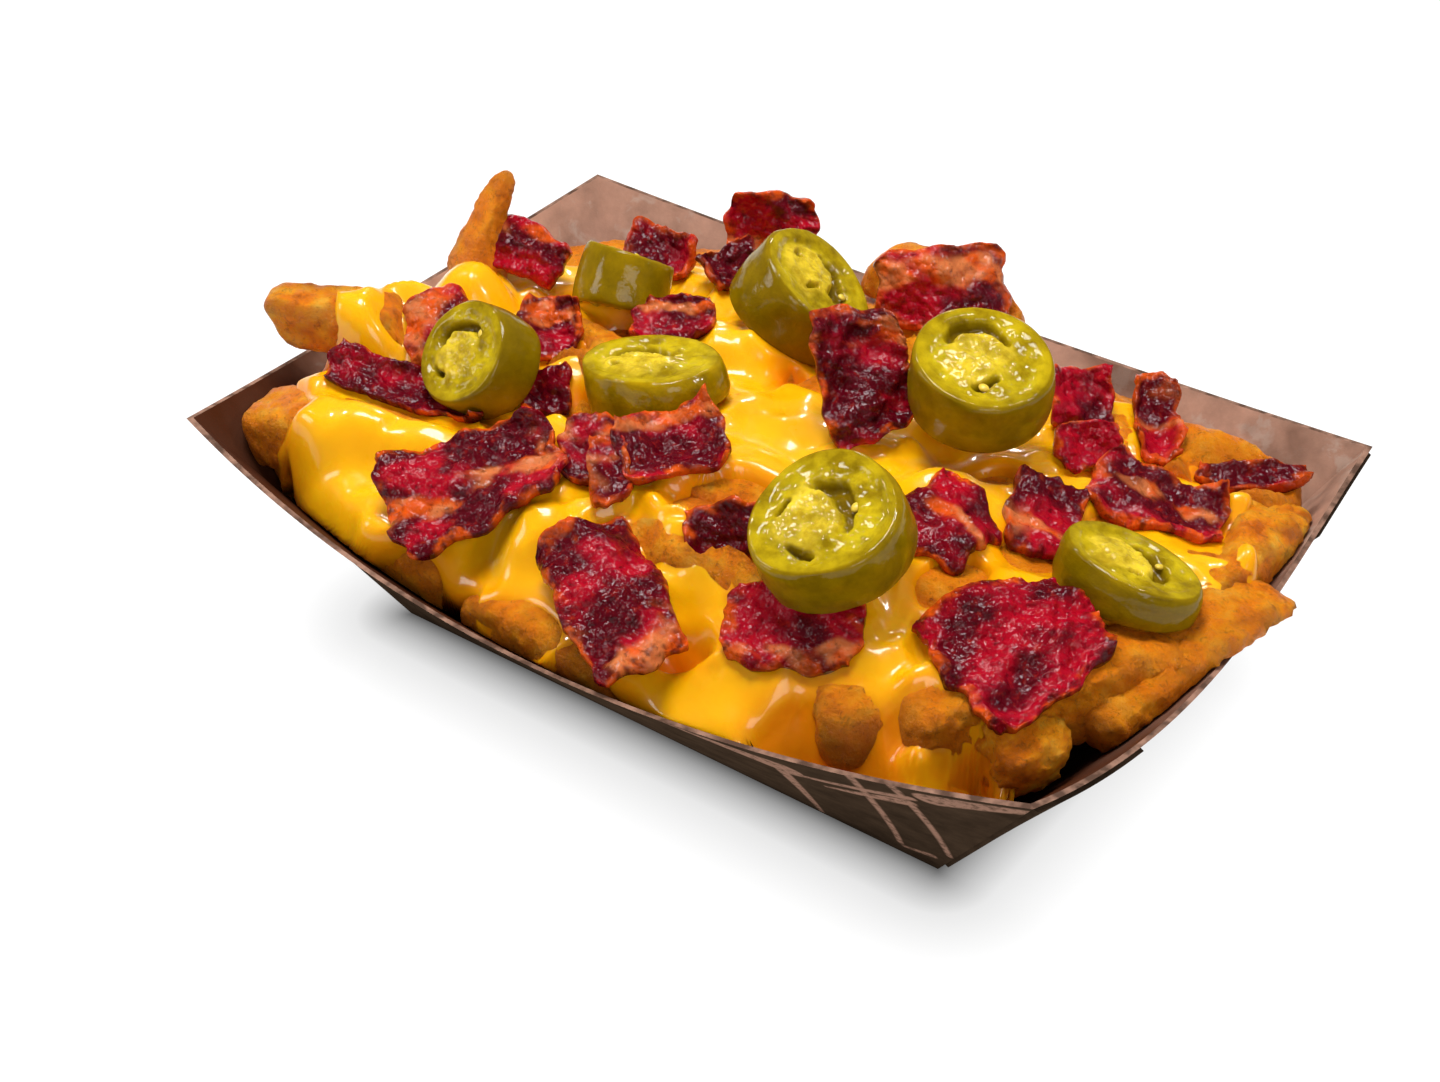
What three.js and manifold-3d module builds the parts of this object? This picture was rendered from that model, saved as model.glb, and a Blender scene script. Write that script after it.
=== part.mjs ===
// Cheese fries: a folded paper food tray heaped with thick fries, under melted cheese sauce,
// chips of glazed bacon and pickled jalapeno slices.
// Millimetres. X runs along the tray, the shown side faces -Y and Z is up.
// The origin is the centre of the tray's flat underside.
import * as THREE from 'three';
import { mergeVertices } from 'three/addons/utils/BufferGeometryUtils.js';
import Module from 'manifold-3d';

const wasm = await Module();
wasm.setup();

// The tray: its walls are ruled from a straight base fold to a bowed, dipping rim
const TRAY = {
  rimLength: 180,
  rimWidth: 121,
  baseLength: 122,
  baseWidth: 72.5,
  height: 47,
  board: 0.9,
};
const LONG_STEPS = 14;
const END_STEPS = 10;
// How far each side swells outward and dips between its two corners
const FRONT_RIM = { bow: 10.5, drop: 8.5, lean: 0 };
const BACK_RIM = { bow: 10, drop: 8, lean: 0 };
const LEFT_RIM = { bow: 9, drop: 8, lean: 0 };
const RIGHT_RIM = { bow: 5, drop: 4.4, lean: 0.5 };
// The triangular corner webs, folded round and glued on the outside of the two end walls
const WEB = {
  reach: 27, thickness: 0.7, bite: 0.4, slope: 0.6, low: 0.06, high: 0.985, inset: 0.6, steps: 3,
};

// Gap kept between touching pieces
const GAP = 0.4;
// Vertices closer than this are one, and detail finer than this is left off a cut piece
const WELD = 1e-4;
const SLIVER = 0.12;

// The heap: a rounded mound, lower toward the rim, that the fries lie on, and lower still toward
// its back corners
const MOUND = {
  top: 57.5, endFall: 15, sideFall: 17.5, reachX: 88, reachY: 64, endPower: 2.4, sidePower: 3.2,
  backFall: 0.6,
};
const CORE = {
  depth: 8, stepsX: 8, stepsY: 6, wallLevel: 0.62, cornerLevel: 12, cornerRise: 1.15,
  edgeShare: 1.6, clear: 0.8,
};
const FRY = {
  sides: 8, steps: 2, width: [12.5, 16], height: [10.5, 14], length: [42, 72], taper: 0.78, bend: 3,
  rise: 0.35, square: 0.55,
};
// Factor and modulus of the repeatable random numbers
const RANDOM = { factor: 16807, modulus: 2147483647 };
const SCATTER = {
  seed: 11, pitchX: 23, pitchY: 15.5, rows: 6, columns: 7, sink: [6.5, 10], buried: 0.8,
  stagger: 0.5, jitterX: 8, jitterY: 5, shortest: 25, step: 3, level: 0.35, wallShare: 0.45,
  cornerClear: 12,
};

// The sauce: a blanket over the heap's packed inside and between the fries, in an uneven outline
const SAUCE = {
  thickness: 2.4, spread: 5, turns: 30, mapStep: 2.5, mapX: 110, mapY: 80, over: 1.5, edge: 0.2,
};
// Waves of the sauce's outline: share of its reach, how many go round it and their shift
const SAUCE_LOBES = [
  { share: 0.05, count: 7, shift: 0 },
  { share: 0.04, count: 11, shift: 1 },
];
const SAUCE_RINGS = [0.18, 0.36, 0.53, 0.68, 0.82, 0.93, 1];
const SAUCE_CENTRE = [-4, -6];
// Reach of the sauce from its centre, every 15 degrees round from +X
const SAUCE_REACH = [
  86, 84, 78, 66, 54, 50, 47, 50, 57, 68, 74, 80,
  80, 84, 86, 78, 66, 60, 56, 61, 72, 80, 84, 74,
];

const JALAPENO = {
  sides: 16, rib: 0.035, faceShare: 0.95, sideShare: 1.02,
  chamberDepth: 2.2, chamberIn: 0.2, chamberOut: 0.66, chamberSteps: 4, pithAngle: 0.45,
};
// A chip's sheet, its rounded corners, the ripple of its outline and how it curls and waves
const BACON = {
  thickness: 2.4, cornerLoss: 0.12, ragged: 0.05, raggedU: 8, raggedV: 7,
  crossCurl: 0.5, curlLevel: 0.4, waveShare: 0.8, waveU: 2.6, waveV: 1.7,
  longFrom: 15, wideFrom: 18, longSteps: 5, shortSteps: 4, narrowSteps: 3,
};
// Share of a chip's curl and wave that its bed allows for, below and above
const BED = { low: 0.6, high: 0.9, wave: 0.8, ragged: 1.06, sides: 8 };

const COLOURS = {
  kraft: { color: 0x6b4a3c, roughness: 0.8 },
  fry: { color: 0xd9822b, roughness: 0.65 },
  cheese: { color: 0xffb40a, roughness: 0.25 },
  bacon: { color: 0x8c1420, roughness: 0.3 },
  jalapeno: { color: 0x8a9a1e, roughness: 0.3 },
};

// Fries that show clearly, from one end to the other, with their width and height
const SHOWN_FRIES = [
  { from: [-94.5, -31.5, 56], to: [-48, -7, 46], width: 13, height: 11 },
  { from: [-87, -46, 41], to: [-38, -38, 43], width: 16, height: 14.5 },
  { from: [-75, 12.5, 72], to: [-77, 3, 40], width: 11, height: 9 },
  { from: [-12, 50, 56], to: [22, 49, 53], width: 13, height: 11 },
  { from: [54, -52, 35], to: [30, -22, 42], width: 15, height: 14 },
  { from: [59, -48, 40], to: [90, -6, 42], width: 13, height: 12 },
  { from: [81, -40, 35], to: [52, -26, 40], width: 14, height: 14 },
  { from: [82, -28, 37], to: [94, 16, 41], width: 14, height: 13 },
  { from: [82, 0, 42], to: [84, 42, 40], width: 15, height: 13 },
  { from: [-24, -57, 33], to: [14, -59, 33], width: 13, height: 12 },
  { from: [44, 33, 47], to: [86, 40, 43], width: 14, height: 12 },
  { from: [-55, -4, 51], to: [-20, -12, 52], width: 13, height: 11 },
  { from: [-62, -52, 36], to: [-28, -56, 34], width: 13, height: 12 },
  { from: [-84, 32, 37], to: [-44, 50, 39.5], width: 14, height: 12 },
  { from: [-60, 40, 41], to: [-14, 50, 43], width: 14, height: 12 },
  { from: [24, 55, 34], to: [66, 50, 34], width: 14, height: 12 },
];

// Jalapeno slices: centre, the way the cut face looks (compass angle, tilt from upright), radius,
// thickness, how much one side is thinner, and how oval the slice is
const SLICES = [
  {
    at: [-47.5, -25.5, 57.5], look: [-112, 50],
    radius: 10.3, thickness: 11, slant: 0.1, oval: 1.02, chambers: 2,
  },
  {
    at: [-42.5, 10, 59.5], look: [100, 36],
    radius: 8.8, thickness: 11, slant: 0.1, oval: 1, chambers: 2,
  },
  {
    at: [-16, -14, 58], look: [169, 20],
    radius: 13.2, thickness: 11, slant: 0.4, oval: 0.86, chambers: 2,
  },
  {
    at: [-9.5, 22, 61.5], look: [24, 35],
    radius: 12.6, thickness: 12, slant: 0.15, oval: 0.95, chambers: 3,
  },
  {
    at: [36.5, 10, 66.5], look: [-54, 15],
    radius: 12.2, thickness: 12.5, slant: 0.1, oval: 1, chambers: 2,
  },
  {
    at: [36.5, -35, 60], look: [-112, 25],
    radius: 13, thickness: 11.5, slant: 0.15, oval: 1.02, chambers: 3,
  },
  {
    at: [76, -6.5, 51], look: [64, 14],
    radius: 12.2, thickness: 8, slant: 0.2, oval: 0.8, chambers: 2,
  },
];

// Bacon chips: centre, length and width, turn (compass, pitch and roll in degrees), curl and wave
// in millimetres, and the far end's width as a share of the near end's
const CHIPS = [
  { at: [69.5, -30, 49], size: [28.5, 29], turn: [65, 7, 18], curl: -1.5, wave: 1.2, narrow: 0.65 },
  { at: [7, -57, 47.5], size: [18, 32], turn: [58, 9, 16], curl: -2, wave: 1.2, narrow: 0.95 },
  { at: [-29, -49.5, 52], size: [32.5, 24], turn: [50, 19, 17], curl: 2.5, wave: 1.6, narrow: 0.8 },
  { at: [-1, -29, 59.5], size: [19, 14], turn: [49, 11, 18], curl: 3.5, wave: 1.4, narrow: 1.1 },
  { at: [-7, -39, 57], size: [7, 15], turn: [39, 8, 22], curl: 0.5, wave: 0.8, narrow: 0.8 },
  { at: [36, -46, 48], size: [23, 16], turn: [23, 5, 37], curl: -1.5, wave: 1, narrow: 0.9 },
  { at: [16, -37, 52.5], size: [14, 9], turn: [31, 8, 50], curl: 2, wave: 1, narrow: 1.3 },
  { at: [-33, 45, 60], size: [18, 13], turn: [34, -3, 72], curl: 2, wave: 1.5, narrow: 0.85 },
  { at: [8, 44, 60], size: [26, 16], turn: [43, 0, 56], curl: -1.5, wave: 1.3, narrow: 1.1 },
  { at: [19, 0, 66.5], size: [17, 28], turn: [50, 5, 54], curl: 1.5, wave: 1.1, narrow: 0.75 },
  { at: [-45, 26, 58], size: [15, 9], turn: [2, 0, 38], curl: 1.5, wave: 1, narrow: 1 },
  { at: [-30, 27, 59], size: [12, 10], turn: [70, 0, 26], curl: 2, wave: 1, narrow: 0.8 },
  { at: [-27, 5, 58.5], size: [16, 12], turn: [30, 8, 20], curl: 2, wave: 1, narrow: 0.8 },
  { at: [45, -15, 54.5], size: [17, 20], turn: [-7, -14, 10], curl: -1.5, wave: 1.1, narrow: 0.7 },
  { at: [56, 0, 51.5], size: [13, 16], turn: [22, -14, 11], curl: 1.5, wave: 1, narrow: 1.2 },
  { at: [69, 18, 49.5], size: [24, 15], turn: [18, -13, 9], curl: 2, wave: 1.2, narrow: 1 },
  { at: [45, 32, 55], size: [12, 12], turn: [44, -8, 41], curl: 1.5, wave: 0.8, narrow: 1 },
  { at: [52, 22, 53], size: [12, 9], turn: [48, 0, 50], curl: 0.5, wave: 0.5, narrow: 0.9 },
  { at: [57, 39, 51], size: [8, 22], turn: [34, -4, 17], curl: 2, wave: 0.8, narrow: 0.9 },
  { at: [77, 38, 47], size: [20, 6], turn: [39, -3, 11], curl: 1.5, wave: 0.6, narrow: 0.8 },
  { at: [-67, 10, 58.5], size: [17, 12], turn: [10, -13, 40], curl: -2, wave: 1.2, narrow: 0.8 },
  { at: [-64, -20, 56.5], size: [12, 16], turn: [34, 12, 24], curl: -2.5, wave: 0.8, narrow: 1.3 },
  { at: [-58, -33, 51.5], size: [34, 9], turn: [12, 0, 28], curl: 4, wave: 0.9, narrow: 1 },
  { at: [-45, -9, 57.5], size: [12, 15], turn: [23, 5, 35], curl: 1.5, wave: 1, narrow: 0.8 },
  { at: [-36, -22, 54], size: [10, 9], turn: [40, 0, 30], curl: 1, wave: 0.8, narrow: 1.1 },
  { at: [-15, -33, 54.5], size: [13, 15], turn: [30, 8, 21], curl: 1.5, wave: 1, narrow: 0.9 },
];

function lerp(a, b, t) {
  return a + (b - a) * t;
}

function radians(degrees) {
  return degrees * Math.PI / 180;
}

// A repeatable random number source, from 0 to 1
function seededRandom(seed) {
  let state = seed;
  return () => {
    state = (state * RANDOM.factor) % RANDOM.modulus;
    return state / RANDOM.modulus;
  };
}

function between(range, random) {
  return lerp(range[0], range[1], random());
}

// Hump of a side's curve: 1 in its middle and 0 at both corners, leaning to one end
function hump(along, rim) {
  return (1 - along * along) * (1 - rim.lean * along);
}

// One ring round the tray, from level 0 at the base to 1 at the rim, counter-clockwise from above
function wallRing(level, inset, lift) {
  const halfX = lerp(TRAY.baseLength, TRAY.rimLength, level) / 2 - inset;
  const halfY = lerp(TRAY.baseWidth, TRAY.rimWidth, level) / 2 - inset;
  const ring = [];
  const side = (rim, steps, direction, place) => {
    for (let i = 0; i < steps; i += 1) {
      const along = direction * (2 * i / steps - 1);
      const swell = hump(along, rim) * level;
      const [x, y] = place(along, rim.bow * swell);
      ring.push(new THREE.Vector3(x, y, level * TRAY.height - rim.drop * swell + lift));
    }
  };
  side(FRONT_RIM, LONG_STEPS, 1, (t, bow) => [t * halfX, -halfY - bow]);
  side(RIGHT_RIM, END_STEPS, 1, (t, bow) => [halfX + bow, t * halfY]);
  side(BACK_RIM, LONG_STEPS, -1, (t, bow) => [t * halfX, halfY + bow]);
  side(LEFT_RIM, END_STEPS, -1, (t, bow) => [-halfX - bow, t * halfY]);
  return ring;
}

// A closed solid through rings of equal count, its two ends closed round a centre point.
// From the ring numbered downFrom the rings run downward, and their quads are split the other way.
function loftRings(rings, startCentre, endCentre, downFrom = rings.length) {
  const count = rings[0].length;
  const points = rings.flat().concat([startCentre, endCentre]);
  const index = [];
  for (let r = 0; r + 1 < rings.length; r += 1) {
    for (let j = 0; j < count; j += 1) {
      const a = r * count + j;
      const b = r * count + (j + 1) % count;
      if (r < downFrom) {
        index.push(a, b, b + count, a, b + count, a + count);
      } else {
        index.push(a, b, a + count, b, b + count, a + count);
      }
    }
  }
  const start = rings.length * count;
  const last = start - count;
  for (let j = 0; j < count; j += 1) {
    const next = (j + 1) % count;
    index.push(start, next, j);
    index.push(start + 1, last + j, last + next);
  }
  const geometry = new THREE.BufferGeometry().setFromPoints(points);
  geometry.setIndex(index);
  return geometry;
}

// The same mesh with each corner kept once
function weld(geometry) {
  const bare = geometry.clone();
  bare.deleteAttribute('normal');
  bare.deleteAttribute('uv');
  return mergeVertices(bare, WELD);
}

// The closed mesh with every corner moved outward along its normal
function inflate(geometry, distance) {
  const merged = weld(geometry);
  merged.computeVertexNormals();
  const position = merged.attributes.position;
  const normal = merged.attributes.normal;
  const point = new THREE.Vector3();
  const outward = new THREE.Vector3();
  for (let i = 0; i < position.count; i += 1) {
    outward.fromBufferAttribute(normal, i);
    point.fromBufferAttribute(position, i).addScaledVector(outward, distance);
    position.setXYZ(i, point.x, point.y, point.z);
  }
  return merged;
}

// The closed mesh as a solid that can be joined and cut
function toSolid(geometry) {
  const merged = weld(geometry);
  const mesh = new wasm.Mesh({
    numProp: 3,
    vertProperties: new Float32Array(merged.attributes.position.array),
    triVerts: new Uint32Array(merged.index.array),
  });
  return new wasm.Manifold(mesh);
}

// The largest body of a solid, without slivers or loose scraps
function largestBody(solid) {
  const bodies = solid.simplify(SLIVER).decompose();
  bodies.sort((a, b) => b.volume() - a.volume());
  return bodies[0];
}

function toGeometry(solid) {
  const mesh = solid.getMesh();
  const geometry = new THREE.BufferGeometry();
  geometry.setAttribute('position', new THREE.BufferAttribute(new Float32Array(mesh.vertProperties), 3));
  geometry.setIndex(new THREE.BufferAttribute(new Uint32Array(mesh.triVerts), 1));
  geometry.computeVertexNormals();
  return geometry;
}

function bend(geometry, move) {
  const position = geometry.attributes.position;
  const point = new THREE.Vector3();
  for (let i = 0; i < position.count; i += 1) {
    point.fromBufferAttribute(position, i);
    move(point);
    position.setXYZ(i, point.x, point.y, point.z);
  }
  return geometry;
}

// A glued corner web on the outside of an end wall, at the corner with the given signs
function cornerWeb(signX, signY) {
  const rim = signX > 0 ? RIGHT_RIM : LEFT_RIM;
  const wallPoint = (level, away, out) => {
    const halfX = lerp(TRAY.baseLength, TRAY.rimLength, level) / 2;
    const halfY = lerp(TRAY.baseWidth, TRAY.rimWidth, level) / 2;
    const along = signY * (1 - away / halfY);
    const swell = hump(along, rim) * level;
    const x = signX * (halfX + rim.bow * swell + out);
    const z = level * TRAY.height - rim.drop * swell - out * WEB.slope;
    return new THREE.Vector3(x, along * halfY, z);
  };
  const sheet = new THREE.BoxGeometry(1, 1, 1, WEB.steps, WEB.steps, 1);
  bend(sheet, (point) => {
    const level = lerp(WEB.low, WEB.high, point.y + 0.5);
    const away = lerp(WEB.inset, WEB.reach * level, point.x + 0.5);
    const out = point.z > 0 ? WEB.thickness : -WEB.bite;
    point.copy(wallPoint(level, away, out));
  });
  if (signX * signY > 0) {
    sheet.index.array.reverse();
  }
  return toSolid(sheet);
}

function traySolid() {
  const wall = TRAY.board;
  const rings = [
    wallRing(0, 0, 0), wallRing(0.5, 0, 0), wallRing(1, 0, 0),
    wallRing(1, wall, 0), wallRing(0.5, wall, 0), wallRing(0, wall, wall),
  ];
  const under = new THREE.Vector3(0, 0, 0);
  const floor = new THREE.Vector3(0, 0, wall);
  let tray = toSolid(loftRings(rings, under, floor, 3));
  [[1, 1], [1, -1], [-1, 1], [-1, -1]].forEach(([signX, signY]) => {
    tray = tray.add(cornerWeb(signX, signY));
  });
  return tray;
}

// The space that food may fill: inside the walls, and everywhere above the rim
function foodSpace() {
  const inset = TRAY.board + GAP;
  const above = TRAY.height;
  const wide = TRAY.rimWidth / 2;
  const rings = [
    wallRing(0, inset, inset), wallRing(0.5, inset, 0), wallRing(1, inset, GAP),
    wallRing(1, -wide, GAP), wallRing(1, -wide, above),
  ];
  const floor = new THREE.Vector3(0, 0, inset);
  const ceiling = new THREE.Vector3(0, 0, TRAY.height + above);
  return toSolid(loftRings(rings, floor, ceiling));
}

// Height of the mound's upper surface at a place in the tray
function moundTop(x, y) {
  const end = MOUND.endFall * Math.abs(x / MOUND.reachX) ** MOUND.endPower;
  const steeper = y > 0 ? 1 + MOUND.backFall * Math.abs(x / MOUND.reachX) : 1;
  const side = steeper * MOUND.sideFall * Math.abs(y / MOUND.reachY) ** MOUND.sidePower;
  return MOUND.top - end - side;
}

// Height of the heap's packed inside, below the fries that show, lower in the tray's empty corners
function coreTop(x, y) {
  const halfX = lerp(TRAY.baseLength, TRAY.rimLength, CORE.wallLevel) / 2;
  const halfY = lerp(TRAY.baseWidth, TRAY.rimWidth, CORE.wallLevel) / 2;
  const cornerAway = Math.hypot(halfX - Math.abs(x), halfY - Math.abs(y));
  return Math.min(moundTop(x, y) - CORE.depth, CORE.cornerLevel + cornerAway * CORE.cornerRise);
}

function heapCore(grow) {
  const slab = new THREE.BoxGeometry(2, 2, 1, CORE.stepsX, CORE.stepsY, 1);
  const low = TRAY.board + CORE.clear;
  bend(slab, (point) => {
    const top = point.z > 0;
    const level = top ? CORE.wallLevel : low / TRAY.height;
    const halfX = lerp(TRAY.baseLength, TRAY.rimLength, level) / 2 - low;
    const halfY = lerp(TRAY.baseWidth, TRAY.rimWidth, level) / 2 - low;
    const x = point.x * halfX;
    const y = point.y * halfY;
    point.set(x, y, top ? coreTop(x, y) : low);
  });
  return toSolid(inflate(slab, grow * CORE.edgeShare));
}

// A thick fry between two points: an eight-sided bar with blunt, narrower ends and a slight bend
function frySolid(fry, grow = 0) {
  const from = new THREE.Vector3(...fry.from);
  const to = new THREE.Vector3(...fry.to);
  const length = from.distanceTo(to) + 2 * grow;
  const bar = new THREE.CylinderGeometry(1, 1, length, FRY.sides, FRY.steps);
  bend(bar, (point) => {
    const along = 2 * point.y / length;
    const blunt = lerp(1, FRY.taper, along * along);
    const wide = Math.sign(point.x) * Math.abs(point.x) ** FRY.square;
    const tall = Math.sign(point.z) * Math.abs(point.z) ** FRY.square;
    const rise = FRY.bend * (FRY.rise - along * along);
    const halfWidth = fry.width / 2 * blunt + grow;
    const halfHeight = fry.height / 2 * blunt + grow;
    point.set(wide * halfWidth, point.y, tall * halfHeight + rise);
  });
  const lengthwise = to.clone().sub(from).normalize();
  const sideways = new THREE.Vector3(0, 0, 1).cross(lengthwise).normalize();
  const upward = lengthwise.clone().cross(sideways);
  const frame = new THREE.Matrix4().makeBasis(sideways.negate(), lengthwise, upward);
  frame.setPosition(from.clone().add(to).multiplyScalar(0.5));
  return toSolid(bar.applyMatrix4(frame));
}

// Distance from a point to the nearest wall, measured level, with the corners drawn in
function roomToWall(x, y, z) {
  const level = Math.min(1, z / (TRAY.height - FRONT_RIM.drop));
  const halfX = lerp(TRAY.baseLength, TRAY.rimLength, level) / 2;
  const halfY = lerp(TRAY.baseWidth, TRAY.rimWidth, level) / 2;
  const across = Math.min(halfX - Math.abs(x), halfY - Math.abs(y));
  const corner = Math.hypot(Math.max(0, halfX - Math.abs(x)), Math.max(0, halfY - Math.abs(y)));
  return Math.min(across, corner - SCATTER.cornerClear);
}

// How far out a place lies under the sauce: 0 at its centre, 1 at its edge
function sauceShare(x, y) {
  const dx = x - SAUCE_CENTRE[0];
  const dy = y - SAUCE_CENTRE[1];
  return Math.hypot(dx, dy) / sauceReach(Math.atan2(dy, dx));
}

// Fries scattered over the mound in rows, shortened from either end until they clear the walls.
// Those marked buried lie well under the sauce, and only its surface shows them.
function scatteredFries() {
  const random = seededRandom(SCATTER.seed);
  const fries = [];
  for (let row = 0; row < SCATTER.rows; row += 1) {
    for (let column = 0; column < SCATTER.columns; column += 1) {
      const shift = (row % 2 - 0.5) * SCATTER.stagger;
      const alongX = column - (SCATTER.columns - 1) / 2 + shift;
      const x = alongX * SCATTER.pitchX + SCATTER.jitterX * (random() - 0.5);
      const y = (row - (SCATTER.rows - 1) / 2) * SCATTER.pitchY + SCATTER.jitterY * (random() - 0.5);
      const turn = radians(180 * random());
      const half = between(FRY.length, random) / 2;
      const width = between(FRY.width, random);
      const height = between(FRY.height, random);
      const sink = between(SCATTER.sink, random);
      const ends = [-1, 1].map((sign) => {
        for (let reach = half; reach > SCATTER.step; reach -= SCATTER.step) {
          const ex = x + sign * reach * Math.cos(turn);
          const ey = y + sign * reach * Math.sin(turn);
          const ez = lerp(moundTop(ex, ey), moundTop(x, y), SCATTER.level) - sink;
          if (roomToWall(ex, ey, ez - height / 2) > width * SCATTER.wallShare) {
            return [ex, ey, ez];
          }
        }
        return null;
      });
      if (ends[0] && ends[1]) {
        const fry = { from: ends[0], to: ends[1], width, height };
        const reach = new THREE.Vector3(...fry.from).distanceTo(new THREE.Vector3(...fry.to));
        fry.buried = sauceShare(x, y) < SCATTER.buried;
        if (reach > SCATTER.shortest) {
          fries.push(fry);
        }
      }
    }
  }
  return fries;
}

function heapSolid(fries, grow = 0) {
  return fries.reduce((heap, fry) => heap.add(frySolid(fry, grow)), heapCore(grow));
}

// Highest point of a solid over each spot of a level grid, raised to its neighbours and smoothed
function surfaceMap(solid) {
  const step = SAUCE.mapStep;
  const reachX = SAUCE.mapX;
  const reachY = SAUCE.mapY;
  const columns = Math.round(2 * reachX / step) + 1;
  const rows = Math.round(2 * reachY / step) + 1;
  let map = new Float64Array(columns * rows);
  const mesh = solid.getMesh();
  const corner = (i) => new THREE.Vector3().fromArray(mesh.vertProperties, mesh.triVerts[i] * 3);
  const weights = new THREE.Vector3();
  const spot = new THREE.Vector3();
  for (let i = 0; i < mesh.triVerts.length; i += 3) {
    const triangle = [corner(i), corner(i + 1), corner(i + 2)];
    const heights = triangle.map((p) => p.z);
    const box = new THREE.Box3().setFromPoints(triangle);
    triangle.forEach((p) => p.setZ(0));
    for (let c = Math.ceil((box.min.x + reachX) / step); c <= (box.max.x + reachX) / step; c += 1) {
      for (let r = Math.ceil((box.min.y + reachY) / step); r <= (box.max.y + reachY) / step; r += 1) {
        spot.set(c * step - reachX, r * step - reachY, 0);
        const inside = THREE.Triangle.getBarycoord(spot, ...triangle, weights);
        if (inside && weights.x >= 0 && weights.y >= 0 && weights.z >= 0) {
          const z = weights.x * heights[0] + weights.y * heights[1] + weights.z * heights[2];
          map[r * columns + c] = Math.max(map[r * columns + c], z);
        }
      }
    }
  }
  const spread = Math.round(SAUCE.spread / step);
  const gather = (combine) => {
    const next = new Float64Array(map.length);
    for (let r = 0; r < rows; r += 1) {
      for (let c = 0; c < columns; c += 1) {
        const near = [];
        for (let dr = -spread; dr <= spread; dr += 1) {
          for (let dc = -spread; dc <= spread; dc += 1) {
            const value = map[(r + dr) * columns + c + dc];
            if (dr * dr + dc * dc <= spread * spread && value > 0) {
              near.push(value);
            }
          }
        }
        next[r * columns + c] = near.length ? combine(near) : 0;
      }
    }
    map = next;
  };
  gather((near) => Math.max(...near));
  gather((near) => near.reduce((sum, value) => sum + value, 0) / near.length);
  return (x, y) => map[Math.round((y + reachY) / step) * columns + Math.round((x + reachX) / step)];
}

// Reach of the sauce at an angle, between the reaches named every 15 degrees
function sauceReach(angle) {
  const place = ((angle / (2 * Math.PI)) * SAUCE_REACH.length + SAUCE_REACH.length) % SAUCE_REACH.length;
  const low = Math.floor(place);
  const next = (low + 1) % SAUCE_REACH.length;
  return lerp(SAUCE_REACH[low], SAUCE_REACH[next], place - low);
}

// The sauce before it is fitted to what it lies on and what lies in it
function sauceBlanket(topOf) {
  const centreX = SAUCE_CENTRE[0];
  const centreY = SAUCE_CENTRE[1];
  const centre = (level) => new THREE.Vector3(centreX, centreY, level(centreX, centreY));
  const ring = (share, level) => {
    const points = [];
    for (let i = 0; i < SAUCE.turns; i += 1) {
      const angle = 2 * Math.PI * i / SAUCE.turns;
      const lobes = SAUCE_LOBES.map((lobe) => lobe.share * Math.sin(lobe.count * angle + lobe.shift));
      const reach = sauceReach(angle) * share * lobes.reduce((sum, lobe) => sum + lobe, 1);
      const x = centreX + reach * Math.cos(angle);
      const y = centreY + reach * Math.sin(angle);
      points.push(new THREE.Vector3(x, y, level(x, y)));
    }
    return points;
  };
  const top = (x, y) => Math.min(topOf(x, y), moundTop(x, y) + SAUCE.over) + SAUCE.thickness;
  const edge = (x, y) => lerp(coreTop(x, y), top(x, y), SAUCE.edge);
  const bottom = (x, y) => coreTop(x, y) + GAP;
  const under = SAUCE_RINGS.map((share) => ring(share, bottom));
  const over = SAUCE_RINGS.map((share) => ring(share, share === 1 ? edge : top)).reverse();
  return toSolid(loftRings(under.concat(over), centre(bottom), centre(top)));
}

// The seed chambers cut into both faces of a slice, with ribs of pith left between them
function chamberSolid(slice, index, face) {
  const span = 2 * Math.PI / slice.chambers;
  const start = index * span + JALAPENO.pithAngle;
  const end = (index + 1) * span - JALAPENO.pithAngle;
  const shape = new THREE.Shape();
  const out = slice.radius * JALAPENO.chamberOut;
  const inside = slice.radius * JALAPENO.chamberIn;
  const steps = JALAPENO.chamberSteps;
  for (let i = 0; i <= steps; i += 1) {
    const angle = lerp(start, end, i / steps);
    shape[i ? 'lineTo' : 'moveTo'](out * Math.cos(angle), out * Math.sin(angle) * slice.oval);
  }
  shape.lineTo(inside * Math.cos(end), inside * Math.sin(end) * slice.oval);
  shape.lineTo(inside * Math.cos(start), inside * Math.sin(start) * slice.oval);
  const tall = slice.thickness;
  const pocket = new THREE.ExtrudeGeometry(shape, { depth: tall, bevelEnabled: false, curveSegments: 1 });
  const level = tall / 2 - JALAPENO.chamberDepth;
  pocket.translate(0, 0, face > 0 ? level : -level - tall);
  return toSolid(pocket);
}

// Place of a slice: its cut face looks the way that its compass angle and tilt say
function sliceFrame(slice) {
  const [compass, tilt] = slice.look.map(radians);
  const look = new THREE.Vector3(
    Math.sin(tilt) * Math.cos(compass),
    Math.sin(tilt) * Math.sin(compass),
    Math.cos(tilt),
  );
  const turn = new THREE.Quaternion().setFromUnitVectors(new THREE.Vector3(0, 0, 1), look);
  return new THREE.Matrix4().compose(new THREE.Vector3(...slice.at), turn, new THREE.Vector3(1, 1, 1));
}

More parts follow.
